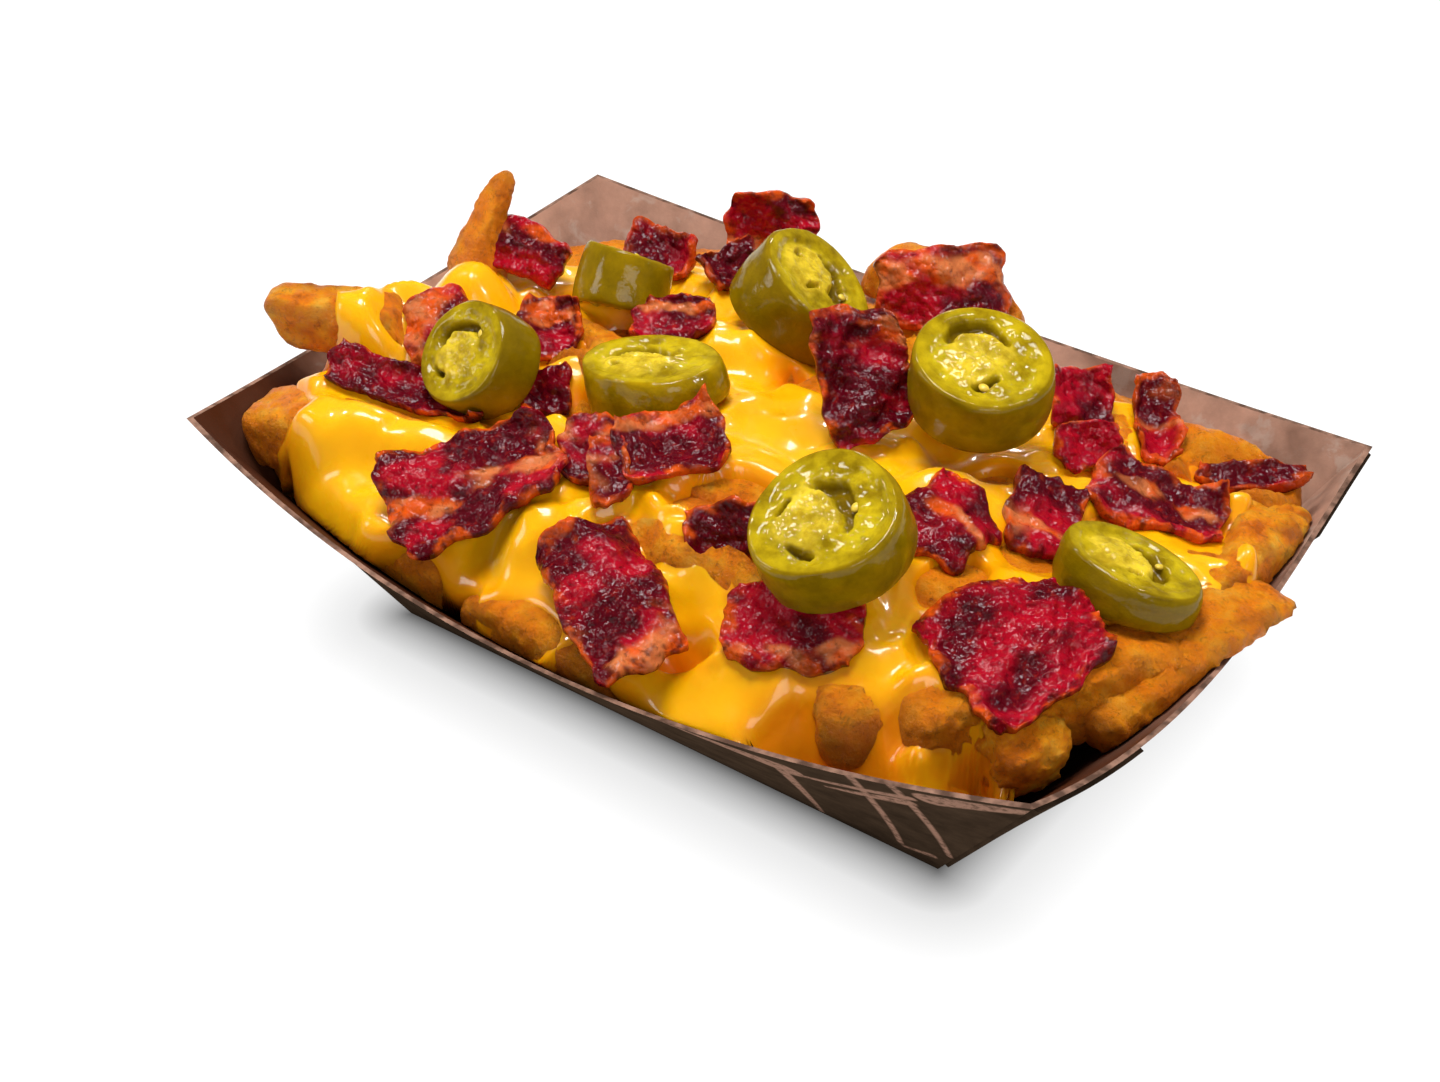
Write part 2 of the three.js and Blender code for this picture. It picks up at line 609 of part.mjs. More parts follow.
// A jalapeno slice: a faintly ribbed disc, thinner to one side, with its seed chambers
function sliceSolid(slice, grow = 0) {
  const disc = new THREE.CylinderGeometry(1, 1, slice.thickness + 2 * grow, JALAPENO.sides, 2);
  disc.rotateX(Math.PI / 2);
  bend(disc, (point) => {
    const angle = Math.atan2(point.y, point.x);
    const rib = 1 + JALAPENO.rib * Math.cos(slice.chambers * angle);
    const isFace = Math.abs(point.z) > slice.thickness / 4;
    const edge = isFace ? JALAPENO.faceShare : JALAPENO.sideShare;
    const radius = Math.hypot(point.x, point.y) * (slice.radius * rib * edge + grow);
    point.x = radius * Math.cos(angle);
    point.y = radius * Math.sin(angle) * slice.oval;
    point.z *= 1 - slice.slant * point.x / slice.radius;
  });
  let solid = toSolid(disc);
  if (grow === 0) {
    for (let i = 0; i < slice.chambers; i += 1) {
      solid = solid.subtract(chamberSolid(slice, i, 1)).subtract(chamberSolid(slice, i, -1));
    }
  }
  return solid.transform(sliceFrame(slice).elements);
}

// Place of a chip: turned by its compass angle, then its pitch, then its roll
function chipFrame(chip) {
  const [compass, pitch, roll] = chip.turn.map(radians);
  const frame = new THREE.Matrix4().makeRotationZ(compass);
  frame.multiply(new THREE.Matrix4().makeRotationY(-pitch));
  frame.multiply(new THREE.Matrix4().makeRotationX(roll));
  return frame.setPosition(...chip.at);
}

// A bacon chip: a thin sheet with an uneven outline, curled along its length and rippled across it
function chipSolid(chip, index, grow = 0) {
  const [length, width] = chip.size;
  const stepsU = length > BACON.longFrom ? BACON.longSteps : BACON.shortSteps;
  const stepsV = width > BACON.wideFrom ? BACON.longSteps : BACON.narrowSteps;
  const sheet = new THREE.BoxGeometry(2, 2, 1, stepsU, stepsV, 1);
  bend(sheet, (point) => {
    const u = point.x;
    const v = point.y;
    const corner = 1 - BACON.cornerLoss * u * u * v * v;
    const rippleV = Math.sin(BACON.raggedV * v + 2 * index);
    const rippleU = Math.sin(BACON.raggedU * u + index);
    const ragged = 1 + BACON.ragged * (rippleV + rippleU);
    const across = lerp(1, chip.narrow, (u + 1) / 2);
    const bowU = u * u - BACON.curlLevel;
    const bowV = v * v - BACON.curlLevel;
    const curl = chip.curl * (bowU + BACON.crossCurl * bowV);
    const ripple = Math.sin(BACON.waveU * u + BACON.waveV * v + index);
    const wave = BACON.waveShare * chip.wave * ripple;
    const side = point.z * (BACON.thickness + 2 * grow);
    point.x = u * (length / 2 * corner * ragged + grow);
    point.y = v * (width / 2 * across * corner * ragged + grow);
    point.z = curl + wave + side;
  });
  return toSolid(sheet.applyMatrix4(chipFrame(chip)));
}

// The plain block that a chip lies in, for the hollow it presses into what is under it
function chipBed(chip) {
  const [length, width] = chip.size;
  const block = new THREE.BoxGeometry(2, 2, 2);
  const bow = Math.abs(chip.curl);
  const low = BACON.thickness / 2 + BED.low * bow + BED.wave * chip.wave + GAP;
  const high = BACON.thickness / 2 + BED.high * bow + BED.wave * chip.wave + GAP;
  bend(block, (point) => {
    const across = lerp(1, chip.narrow, (point.x + 1) / 2);
    const up = chip.curl < 0 ? low : high;
    const down = chip.curl < 0 ? high : low;
    point.x *= length / 2 * BED.ragged + GAP;
    point.y *= width / 2 * across * BED.ragged + GAP;
    point.z *= point.z > 0 ? up : down;
  });
  return toSolid(block.applyMatrix4(chipFrame(chip)));
}

// The plain eight-sided block that a jalapeno slice lies in
function sliceBed(slice) {
  const block = new THREE.CylinderGeometry(1, 1, 1, BED.sides, 1);
  block.rotateX(Math.PI / 2);
  const within = slice.radius * (1 + JALAPENO.rib) * JALAPENO.sideShare + GAP;
  const radius = within / Math.cos(Math.PI / BED.sides);
  const tall = slice.thickness * (1 + slice.slant) + 2 * GAP;
  block.scale(radius, radius * Math.max(1, slice.oval), tall);
  return toSolid(block.applyMatrix4(sliceFrame(slice)));
}

function makeMesh(name, solid, finish) {
  const material = new THREE.MeshStandardMaterial({ ...finish, metalness: 0 });
  const mesh = new THREE.Mesh(toGeometry(solid), material);
  mesh.name = name;
  return mesh;
}

// Toppings first, then the sauce cut by them, then the heap cut by them
function buildCheeseFries() {
  const group = new THREE.Group();
  group.add(makeMesh('paper_tray', traySolid(), COLOURS.kraft));
  const space = foodSpace();
  const join = (solids) => solids.reduce((sum, solid) => sum.add(solid));
  SLICES.forEach((slice, i) => {
    group.add(makeMesh(`jalapeno_${i + 1}`, sliceSolid(slice), COLOURS.jalapeno));
  });
  let taken = join(SLICES.map((slice) => sliceSolid(slice, GAP)));
  CHIPS.forEach((chip, i) => {
    const fitted = largestBody(chipSolid(chip, i).intersect(space).subtract(taken));
    group.add(makeMesh(`bacon_${String(i + 1).padStart(2, '0')}`, fitted, COLOURS.bacon));
    taken = taken.add(chipSolid(chip, i, GAP));
  });
  const beds = join(SLICES.map(sliceBed).concat(CHIPS.map(chipBed)));
  const allFries = SHOWN_FRIES.concat(scatteredFries());
  const fries = allFries.filter((fry) => !fry.buried);
  const heap = largestBody(heapSolid(fries).intersect(space).subtract(beds));
  const grownHeap = heapSolid(fries, GAP);
  const blanket = sauceBlanket(surfaceMap(heapSolid(allFries)));
  const sauce = largestBody(blanket.intersect(space).subtract(grownHeap).subtract(beds));
  group.add(makeMesh('cheese_sauce', sauce, COLOURS.cheese));
  group.add(makeMesh('fries_heap', heap, COLOURS.fry));
  return group;
}

export default buildCheeseFries();
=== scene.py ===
import math

import bmesh
import bpy
import numpy as np
from bpy.props import FloatProperty, FloatVectorProperty, PointerProperty
from mathutils import Matrix, Vector


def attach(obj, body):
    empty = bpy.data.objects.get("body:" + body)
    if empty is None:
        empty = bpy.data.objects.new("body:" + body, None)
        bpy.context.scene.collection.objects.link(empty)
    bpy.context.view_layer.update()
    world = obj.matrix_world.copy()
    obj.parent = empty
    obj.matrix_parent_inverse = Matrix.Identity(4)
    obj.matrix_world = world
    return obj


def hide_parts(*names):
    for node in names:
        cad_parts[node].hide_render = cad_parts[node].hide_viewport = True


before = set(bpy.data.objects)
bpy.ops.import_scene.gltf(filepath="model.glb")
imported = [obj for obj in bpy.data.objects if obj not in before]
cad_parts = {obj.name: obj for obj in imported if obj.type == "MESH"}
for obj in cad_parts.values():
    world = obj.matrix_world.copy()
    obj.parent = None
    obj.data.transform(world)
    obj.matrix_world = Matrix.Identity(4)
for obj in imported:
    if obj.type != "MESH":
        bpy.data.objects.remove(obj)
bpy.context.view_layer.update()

bl_info = {
    "name": "Loaded Cheese Fries",
    "version": (1, 0, 0),
    "blender": (4, 5, 0),
    "location": "View3D > Sidebar > Cheese Fries",
    "description": "A paper tray of thick fries under cheese sauce, bacon and jalapeno slices",
    "category": "Add Mesh",
}

# Lengths are kept in millimetres here, and meshes are made in metres
MM = 0.001

# The tray: its walls are ruled from a straight base fold to a bowed, dipping rim
RIM_LENGTH, RIM_WIDTH = 180.0, 121.0
BASE_LENGTH, BASE_WIDTH = 122.0, 72.5
TRAY_HEIGHT = 47.0
# Each side's outward bow, its dip and how far its hump leans to one end
FRONT_RIM = (10.5, 8.5, 0.0)
BACK_RIM = (10.0, 8.0, 0.0)
LEFT_RIM = (9.0, 8.0, 0.0)
RIGHT_RIM = (5.0, 4.4, 0.5)
WEB_REACH, WEB_THICKNESS, WEB_BITE, WEB_SLOPE = 27.0, 0.7, 0.4, 0.6
WEB_LOW, WEB_HIGH, WEB_INSET = 0.06, 0.985, 0.6

# The mound that the fries lie on, and its packed inside
MOUND_TOP, MOUND_END_FALL, MOUND_SIDE_FALL = 57.5, 15.0, 17.5
MOUND_REACH_X, MOUND_REACH_Y = 88.0, 64.0
MOUND_END_POWER, MOUND_SIDE_POWER, MOUND_BACK_FALL = 2.4, 3.2, 0.6
CORE_DEPTH, CORE_LEVEL = 8.0, 0.62
CORE_CORNER_LEVEL, CORE_CORNER_RISE = 12.0, 1.15

# Fries: the range of their sizes, how their ends thin, their bend and the corners of their section
FRY_WIDTH, FRY_HEIGHT, FRY_LENGTH = (12.5, 16.0), (10.5, 14.0), (42.0, 72.0)
FRY_TAPER, FRY_BEND, FRY_RISE, FRY_CORNER = 0.78, 3.0, 0.35, 4.6
# Scattered fries: jittered rows over the mound, sunk into it and kept clear of the walls
SCATTER_SEED, SCATTER_ROWS, SCATTER_COLUMNS = 11, 6, 7
SCATTER_PITCH_X, SCATTER_PITCH_Y = 23.0, 15.5
SCATTER_JITTER_X, SCATTER_JITTER_Y, SCATTER_STAGGER = 8.0, 5.0, 0.5
SCATTER_SINK, SCATTER_SHORTEST, SCATTER_STEP = (6.5, 10.0), 25.0, 3.0
SCATTER_LEVEL, SCATTER_WALL_SHARE, SCATTER_CORNER = 0.35, 0.45, 12.0
SCATTER_BURIED = 0.8

# The sauce: its centre, its reach at even angles round that, and its height over the mound
SAUCE_CENTRE = (-4.0, -6.0)
SAUCE_REACH = [
    86, 92, 93, 74, 54, 50, 47, 50, 57, 68, 74, 80,
    80, 84, 86, 78, 66, 60, 56, 61, 72, 86, 93, 78,
]
SAUCE_OVER = 1.5
# Places where the sauce drapes higher over a fry: centre, reach and rise
SAUCE_RISES = [
    (-75, -21, 9, 18), (-69, -46, 11, 10), (-75, 5, 8, 12), (83, 21, 9, 5), (-38, -58, 9, 5),
]
# Where it banks up round the upright fry: centre, reach, top and the fall to its reach
SAUCE_HUMP = (-71, -2, 9.5, 57, 9)
# Depth of a crevice between fries over which the sauce breaks open
SAUCE_SPAN = 5.0

# Fries that show clearly: from, to, width, height and how bumpy the batter is
SHOWN_FRIES = [
    ((-94.5, -31.5, 56), (-48, -7, 46), 13.0, 11.0, 1.0),
    ((-87, -46, 41), (-38, -38, 43), 16.0, 14.5, 1.0),
    ((-75, 12.5, 72), (-77, 3, 40), 11.0, 9.0, 1.0),
    ((-12, 50, 56), (22, 49, 53), 13.0, 11.0, 1.0),
    ((54, -52, 35), (30, -22, 42), 15.0, 14.0, 1.0),
    ((59, -48, 40), (90, -6, 42), 13.0, 12.0, 1.9),
    ((81, -40, 35), (52, -26, 40), 14.0, 14.0, 2.6),
    ((82, -28, 37), (94, 16, 41), 14.0, 13.0, 2.0),
    ((82, 0, 42), (84, 42, 40), 15.0, 13.0, 1.8),
    ((-24, -57, 33), (14, -59, 33), 13.0, 12.0, 1.1),
    ((44, 33, 47), (86, 40, 43), 14.0, 12.0, 1.5),
    ((-55, -4, 51), (-20, -12, 52), 13.0, 11.0, 1.0),
    ((-62, -52, 36), (-28, -56, 34), 13.0, 12.0, 1.0),
    ((-84, 32, 37), (-44, 50, 39.5), 14.0, 12.0, 1.0),
    ((-60, 40, 41), (-14, 50, 43), 14.0, 12.0, 1.0),
    ((24, 55, 34), (66, 50, 34), 14.0, 12.0, 1.0),
]
# The one that juts out on the left, the one that stands upright and the one with craggy batter
JUTTING_FRY, UPRIGHT_FRY, ROUGH_FRY = 0, 2, 6

# Places where the fries lie bare of sauce: centre, half sizes and turn
BARE_PATCHES = [
    (-96, -33, 12, 9, 28),
    (-87, -51, 16, 11, 12),
    (-78, -60, 10, 5, 8),
    (-84, 18, 4, 4, 0),
    (-8, -63, 11, 4.5, 8),
    (51, -57, 13, 8, 10),
    (61, -47, 7, 3.4, 40),
    (84, -34, 12, 11, 50),
    (97, -10, 14, 7, 75),
    (14, 54, 34, 9, 0),
    (92, 42, 7, 8, 0),
    (88, -22, 9, 8, 60),
    (-40, 48, 34, 9, 10),
    (-36, -1, 9, 5, 20),
    (-21, -37, 7, 3.5, 40),
    (12, -30, 8, 3.5, 35),
    (19, -54, 5, 3, 10),
    (44, 6, 6, 3.5, 20),
    (-52, 14, 7, 4, 60),
    (5, 30, 8, 5, 20),
    (64, 6, 7, 4, 70),
    (-26, -22, 6, 3.5, 0),
    (26, 22, 8, 4, 60),
    (52, -24, 7, 3.5, 70),
    (60, -9, 6, 3, 10),
    (3, 8, 6, 3, -20),
]

# Jalapeno slices: centre, compass angle and tilt of the cut face, radius, thickness, slant, oval,
# chambers and how green the skin is
SLICES = [
    ((-47.5, -25.5, 57.5), (-112, 50), 10.3, 11.0, 0.1, 1.02, 2, 0.85),
    ((-42.5, 10, 59.5), (100, 36), 8.8, 11.0, 0.1, 1.0, 2, 0.55),
    ((-16, -14, 58), (169, 20), 13.2, 11.0, 0.4, 0.86, 2, 0.1),
    ((-9.5, 22, 61.5), (24, 35), 12.6, 12.0, 0.15, 0.95, 3, 0.75),
    ((36.5, 10, 66.5), (-54, 15), 12.2, 12.5, 0.1, 1.0, 2, 0.5),
    ((36.5, -35, 60), (-112, 25), 13.0, 11.5, 0.15, 1.02, 3, 0.45),
    ((76, -6.5, 51), (64, 14), 12.2, 8.0, 0.2, 0.8, 2, 0.7),
]

# Bacon chips: centre, length and width, compass, pitch and roll, curl, wave, narrowing,
# and the look: lean tone (0 burgundy, 1 crimson), orange share, fat streak (place and width)
BACON_THICKNESS = 2.4
CHIPS = [
    ((69.5, -30, 49), (28.5, 29), (65, 7, 18), -1.5, 1.2, 0.65, (0.62, 0.3, 2.0, 0.0)),
    ((7, -57, 47.5), (18, 32), (58, 9, 16), -2.0, 1.2, 0.95, (0.25, 0.45, -0.85, 0.35)),
    ((-29, -49.5, 52), (32.5, 24), (50, 19, 17), 2.5, 1.6, 0.8, (0.35, 0.3, -0.1, 0.35)),
    ((-1, -29, 59.5), (19, 14), (49, 11, 18), 3.5, 1.4, 1.1, (0.3, 0.5, 0.6, 0.3)),
    ((-7, -39, 57), (7, 15), (39, 8, 22), 0.5, 0.8, 0.8, (0.3, 0.9, 0.0, 0.6)),
    ((36, -46, 48), (23, 16), (23, 5, 37), -1.5, 1.0, 0.9, (0.8, 0.5, -0.7, 0.25)),
    ((16, -37, 52.5), (14, 9), (31, 8, 50), 2.0, 1.0, 1.3, (0.1, 0.6, 2.0, 0.0)),
    ((-33, 45, 60), (18, 13), (34, -3, 72), 2.0, 1.5, 0.85, (0.8, 0.55, -0.8, 0.2)),
    ((8, 44, 60), (26, 16), (43, 0, 56), -1.5, 1.3, 1.1, (0.3, 0.9, 0.3, 0.4)),
    ((19, 0, 66.5), (17, 28), (50, 5, 54), 1.5, 1.1, 0.75, (0.2, 0.5, 0.6, 0.12)),
    ((-45, 26, 58), (15, 9), (2, 0, 38), 1.5, 1.0, 1.0, (0.3, 0.9, 2.0, 0.0)),
    ((-30, 27, 59), (12, 10), (70, 0, 26), 2.0, 1.0, 0.8, (0.2, 0.6, 2.0, 0.0)),
    ((-27, 5, 58.5), (16, 12), (30, 8, 20), 2.0, 1.0, 0.8, (0.4, 0.3, 0.4, 0.2)),
    ((45, -15, 54.5), (17, 20), (-7, -14, 10), -1.5, 1.1, 0.7, (0.5, 0.3, 0.2, 0.3)),
    ((56, 0, 51.5), (13, 16), (22, -14, 11), 1.5, 1.0, 1.2, (0.4, 0.4, -0.4, 0.3)),
    ((69, 18, 49.5), (24, 15), (18, -13, 9), 2.0, 1.2, 1.0, (0.3, 0.6, 0.1, 0.25)),
    ((45, 32, 55), (12, 12), (44, -8, 41), 1.5, 0.8, 1.0, (0.7, 0.3, 2.0, 0.0)),
    ((52, 22, 53), (12, 9), (48, 0, 50), 0.5, 0.5, 0.9, (1.0, 0.2, 2.0, 0.0)),
    ((57, 39, 51), (8, 22), (34, -4, 17), 2.0, 0.8, 0.9, (0.4, 0.9, 0.3, 0.5)),
    ((77, 38, 47), (20, 6), (39, -3, 11), 1.5, 0.6, 0.8, (0.3, 0.9, 2.0, 0.0)),
    ((-67, 10, 58.5), (17, 12), (10, -13, 40), -2.0, 1.2, 0.8, (0.95, 0.1, 0.5, 0.3)),
    ((-64, -20, 56.5), (12, 16), (34, 12, 24), -2.5, 0.8, 1.3, (0.5, 0.8, 0.0, 0.9)),
    ((-58, -33, 51.5), (34, 9), (12, 0, 28), 4.0, 0.9, 1.0, (0.1, 0.2, 2.0, 0.0)),
    ((-45, -9, 57.5), (12, 15), (23, 5, 35), 1.5, 1.0, 0.8, (0.3, 0.5, 0.4, 0.2)),
    ((-36, -22, 54), (10, 9), (40, 0, 30), 1.0, 0.8, 1.1, (0.2, 0.4, 2.0, 0.0)),
    ((-15, -33, 54.5), (13, 15), (30, 8, 21), 1.5, 1.0, 0.9, (0.3, 0.4, 0.5, 0.2)),
]

# The photograph's camera: what it looks at, how far away, and from where
CAMERA_TARGET = (-0.0072, -0.0070, 0.0235)
CAMERA_DISTANCE = 0.455
CAMERA_COMPASS, CAMERA_RISE = 36.4, 35.8
CAMERA_LENS = 60.5
# How far from the tray's base the pale floor has a soft painted shadow
SHADE_REACH = 24.0


def mix(a, b, share):
    """The value between two others."""
    return a + (b - a) * share


def smooth_step(low, high, value):
    """0 below low, 1 above high and eased between them."""
    share = np.clip((value - low) / (high - low), 0, 1)
    return share * share * (3 - 2 * share)


def turns_round(count):
    """Even angles round a circle."""
    return np.linspace(0, 2 * math.pi, count, endpoint=False)


# Noise for uneven food

SLOPES = np.array([
    (1, 1, 0), (-1, 1, 0), (1, -1, 0), (-1, -1, 0),
    (1, 0, 1), (-1, 0, 1), (1, 0, -1), (-1, 0, -1),
    (0, 1, 1), (0, -1, 1), (0, 1, -1), (0, -1, -1),
], float)


def lumps(points, size, seed):
    """Smooth noise from about -1 to 1 at points, with lumps of the given size."""
    place = np.asarray(points, float) / size + 11.7 * (seed + 1)
    cell = np.floor(place)
    part = place - cell
    cell = cell.astype(np.int64).astype(np.uint64)
    ease = part ** 3 * (part * (part * 6 - 15) + 10)
    total = np.zeros(len(place))
    for corner in np.ndindex(2, 2, 2):
        key = np.full(len(place), np.uint64(seed * 977 + 13), np.uint64)
        weight = np.ones(len(place))
        for axis in range(3):
            key = (key ^ (cell[:, axis] + np.uint64(corner[axis]))) * np.uint64(1099511628211)
            key ^= key >> np.uint64(29)
            weight *= ease[:, axis] if corner[axis] else 1 - ease[:, axis]
        slope = SLOPES[(key % np.uint64(12)).astype(int)]
        total += weight * ((part - corner) * slope).sum(axis=1)
    return total


def grain(points, size, seed, layers=3, keep=0.5):
    """Several layers of lumps, each half the size of the last."""
    total = np.zeros(len(points))
    for layer in range(layers):
        total += keep ** layer * lumps(points, size / 2 ** layer, seed + 31 * layer)
    return total


def seeded_draws(seed):
    """A repeatable source of numbers from 0 to 1."""
    state = seed
    while True:
        state = (state * 16807) % 2147483647
        yield state / 2147483647


# Meshes from grids of points

def grid_faces(rows, columns, closed, start=0):
    """Quads between neighbouring points of a grid, joined round where closed."""
    across = np.arange(columns if closed else columns - 1)
    down = np.arange(rows - 1)[:, None]
    here = down * columns + across
    there = down * columns + (across + 1) % columns
    faces = np.stack([here, there, there + columns, here + columns], axis=-1)
    return faces.reshape(-1, 4) + start


def fan_faces(centre, ring, flip=False):
    """Triangles from a centre point to a closed ring of points."""
    following = np.roll(ring, -1)
    middle = np.full(len(ring), centre)
    sides = (middle, following, ring) if flip else (middle, ring, following)
    return np.stack(sides, axis=-1)


class Body:
    """Points, faces and per-point values of a mesh that grows shape by shape."""

    def __init__(self):
        self.points = []
        self.faces = []
        self.finish = []
        self.values = {}
        self.count = 0

    def add(self, points, face_sets, finish=0, **values):
        """Adds a shape whose faces count from 0, with a value for each point."""
        for faces in face_sets:
            self.faces.extend((faces + self.count).tolist())
            self.finish.extend([finish] * len(faces))
        self.points.append(points)
        for name, value in values.items():
            each = value if np.ndim(value) else np.full(len(points), value)
            self.values.setdefault(name, []).append(each)
        self.count += len(points)

    def build(self, name, finishes):
        """The finished object, in metres."""
        mesh = bpy.data.meshes.new(name)
        mesh.from_pydata((np.concatenate(self.points) * MM).tolist(), [], self.faces)
        mesh.polygons.foreach_set("use_smooth", np.ones(len(mesh.polygons), bool))
        mesh.polygons.foreach_set("material_index", np.array(self.finish, np.int32))
        for key, parts in self.values.items():
            value = np.concatenate(parts)
            if value.ndim == 1:
                layer = mesh.attributes.new(key, "FLOAT", "POINT")
                layer.data.foreach_set("value", value.astype(np.float32))
            else:
                layer = mesh.attributes.new(key, "FLOAT_COLOR", "POINT")
                rgba = np.concatenate([value, np.ones((len(value), 1))], axis=1)
                layer.data.foreach_set("color", rgba.astype(np.float32).ravel())
        mesh.validate()
        mesh.update()
        for finish in finishes:
            mesh.materials.append(finish)
        return put_in_scene(name, mesh)


def put_in_scene(name, data):
    """An object in the scene for a mesh, light or camera."""
    thing = bpy.data.objects.new(name, data)
    bpy.context.scene.collection.objects.link(thing)
    return thing


def settle(piece, slot_name, *nodes):
    """The piece takes the place of its CAD nodes on the one body."""
    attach(piece, "root")
    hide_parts(*nodes)


# Material helpers

class Finish:
    """A material built node by node round one surface shader."""

    def __init__(self, name):
        self.material = bpy.data.materials.new(name)
        self.material.use_nodes = True
        self.tree = self.material.node_tree
        self.tree.nodes.clear()
        self.surface = self.tree.nodes.new("ShaderNodeBsdfPrincipled")
        output = self.tree.nodes.new("ShaderNodeOutputMaterial")
        self.tree.links.new(self.surface.outputs["BSDF"], output.inputs["Surface"])
        self.place = self.tree.nodes.new("ShaderNodeTexCoord").outputs["Object"]

    def put(self, socket, value):
        """A number, colour or other node's output on a socket."""
        if isinstance(value, bpy.types.NodeSocket):
            self.tree.links.new(value, socket)
        elif isinstance(value, (tuple, list)) and socket.type == "RGBA" and len(value) == 3:
            socket.default_value = (*value, 1.0)
        else:
            socket.default_value = value

    def shade(self, **values):
        """Values of the surface shader, by socket name with underscores for spaces."""
        for name, value in values.items():
            self.put(self.surface.inputs[name.replace("_", " ")], value)

    def value(self, name, kind="Fac"):
        """A number, or with the kind Color a colour, that the mesh has for each point."""
        node = self.tree.nodes.new("ShaderNodeAttribute")
        node.attribute_name = name
        return node.outputs[kind]

    def noise(self, size_mm, detail=3.0, rough=0.5, distortion=0.0, stretch=None):
        """Noise with features of a size, sometimes stretched along an axis."""
        node = self.tree.nodes.new("ShaderNodeTexNoise")
        vector = self.place
        if stretch:
            mapping = self.tree.nodes.new("ShaderNodeMapping")
            self.put(mapping.inputs["Vector"], vector)
            mapping.inputs["Scale"].default_value = stretch
            vector = mapping.outputs["Vector"]
        self.put(node.inputs["Vector"], vector)
        node.inputs["Scale"].default_value = 1 / (size_mm * MM)
        node.inputs["Detail"].default_value = detail
        node.inputs["Roughness"].default_value = rough
        node.inputs["Distortion"].default_value = distortion
        return node.outputs["Fac"]

    def bubbles(self, size_mm):
        """Round bumps side by side, 1 in their middles."""
        node = self.tree.nodes.new("ShaderNodeTexVoronoi")
        node.inputs["Scale"].default_value = 1 / (size_mm * MM)
        self.put(node.inputs["Vector"], self.place)
        return self.calc("SUBTRACT", 1.0, node.outputs["Distance"])

    def ramp(self, factor, *stops):
        """Colours or greys along a factor."""
        node = self.tree.nodes.new("ShaderNodeValToRGB")
        self.put(node.inputs["Fac"], factor)
        scale = node.color_ramp
        while len(scale.elements) < len(stops):
            scale.elements.new(0.5)
        for element, (position, tone) in zip(scale.elements, stops):
            element.position = position
            element.color = (*tone, 1.0) if isinstance(tone, tuple) else (tone, tone, tone, 1.0)
        return node.outputs["Color"]

    def blend(self, factor, first, second, most=None):
        """A second colour over the first, by a factor that most weakens."""
        node = self.tree.nodes.new("ShaderNodeMix")
        node.data_type = "RGBA"
        self.put(node.inputs[0], factor if most is None else self.calc("MULTIPLY", factor, most))
        self.put(node.inputs[6], first)
        self.put(node.inputs[7], second)
        return node.outputs[2]

    def calc(self, kind, *values):
        """Arithmetic on numbers."""
        node = self.tree.nodes.new("ShaderNodeMath")
        node.operation = kind
        for socket, value in zip(node.inputs, values):
            self.put(socket, value)
        return node.outputs[0]

    def distance(self, u, w):
        """How long a step is that goes u one way and w across it."""
        squares = [self.calc("MULTIPLY", step, step) for step in (u, w)]
        return self.calc("SQRT", self.calc("ADD", *squares))

    def axis(self, name):
        """One coordinate in the object's own space, in millimetres."""
        node = self.tree.nodes.new("ShaderNodeSeparateXYZ")
        self.put(node.inputs[0], self.place)
        return self.calc("MULTIPLY", node.outputs[name], 1 / MM)

    def fade(self, value, low, high):
        """0 where the value is low, 1 where it is high and straight between them."""
        node = self.tree.nodes.new("ShaderNodeMapRange")
        self.put(node.inputs["Value"], value)
        node.inputs["From Min"].default_value = low
        node.inputs["From Max"].default_value = high
        return node.outputs["Result"]

    def stroke(self, u, w, start, end, half_widths, soft=0.25):
        """Share of a tapering line drawn between two places on a wall."""
        steps = end[0] - start[0], end[1] - start[1]
        square = steps[0] ** 2 + steps[1] ** 2
        away = [self.calc("SUBTRACT", place, first) for place, first in zip((u, w), start)]
        along = self.calc("ADD", *(
            self.calc("MULTIPLY", part, step / square) for part, step in zip(away, steps)))
        along = self.calc("MAXIMUM", self.calc("MINIMUM", along, 1.0), 0.0)
        off = self.distance(*(
            self.calc("SUBTRACT", part, self.calc("MULTIPLY", along, step))
            for part, step in zip(away, steps)))
        wider = self.calc("MULTIPLY", along, half_widths[1] - half_widths[0])
        half = self.calc("ADD", wider, half_widths[0])
        return self.fade(self.calc("SUBTRACT", half, off), -soft, soft)

    def bump(self, height, depth_mm, strength=1.0, under=None):
        """Relief finer than the mesh."""
        node = self.tree.nodes.new("ShaderNodeBump")
        node.inputs["Strength"].default_value = strength
        node.inputs["Distance"].default_value = depth_mm * MM
        self.put(node.inputs["Height"], height)
        if under is not None:
            self.put(node.inputs["Normal"], under)
        return node.outputs["Normal"]


def toned(colour, share):
    """A colour made darker or brighter."""
    return tuple(share * part for part in colour)


FINISHES = {}


def shared(make, *settings):
    """A finish that several pieces wear, made once."""
    if make not in FINISHES:
        FINISHES[make] = make(*settings)
    return FINISHES[make]


# The paper tray

# Lines left unprinted on the shown long side: from, to (along the wall and up) and half widths
PRINT_LINES = [
    ((28, 39), (45.5, 33), (0.3, 3.4)),
    ((45, 34), (37.5, 1.8), (1.2, 0.6)),
    ((61.5, 45), (55.2, 5.3), (0.7, 0.6)),
    ((67.9, 44), (65.8, 9.5), (0.7, 0.6)),
    ((46.8, 30.7), (68.8, 37.7), (0.6, 0.9)),
    ((51, 28.5), (67, 34.5), (0.3, 1.6)),
    ((55.4, 4.2), (61.7, 5.8), (0.4, 0.7)),
    ((72.5, 40), (90, 45), (2.4, 0.8)),
    ((73, 18), (69.5, 6), (0.3, 1.8)),
]
# Across the tray: painted shade darkens the inside in front of the first place and is gone behind
# the second
SOAKED_FROM_Y = (12.0, -38.0)

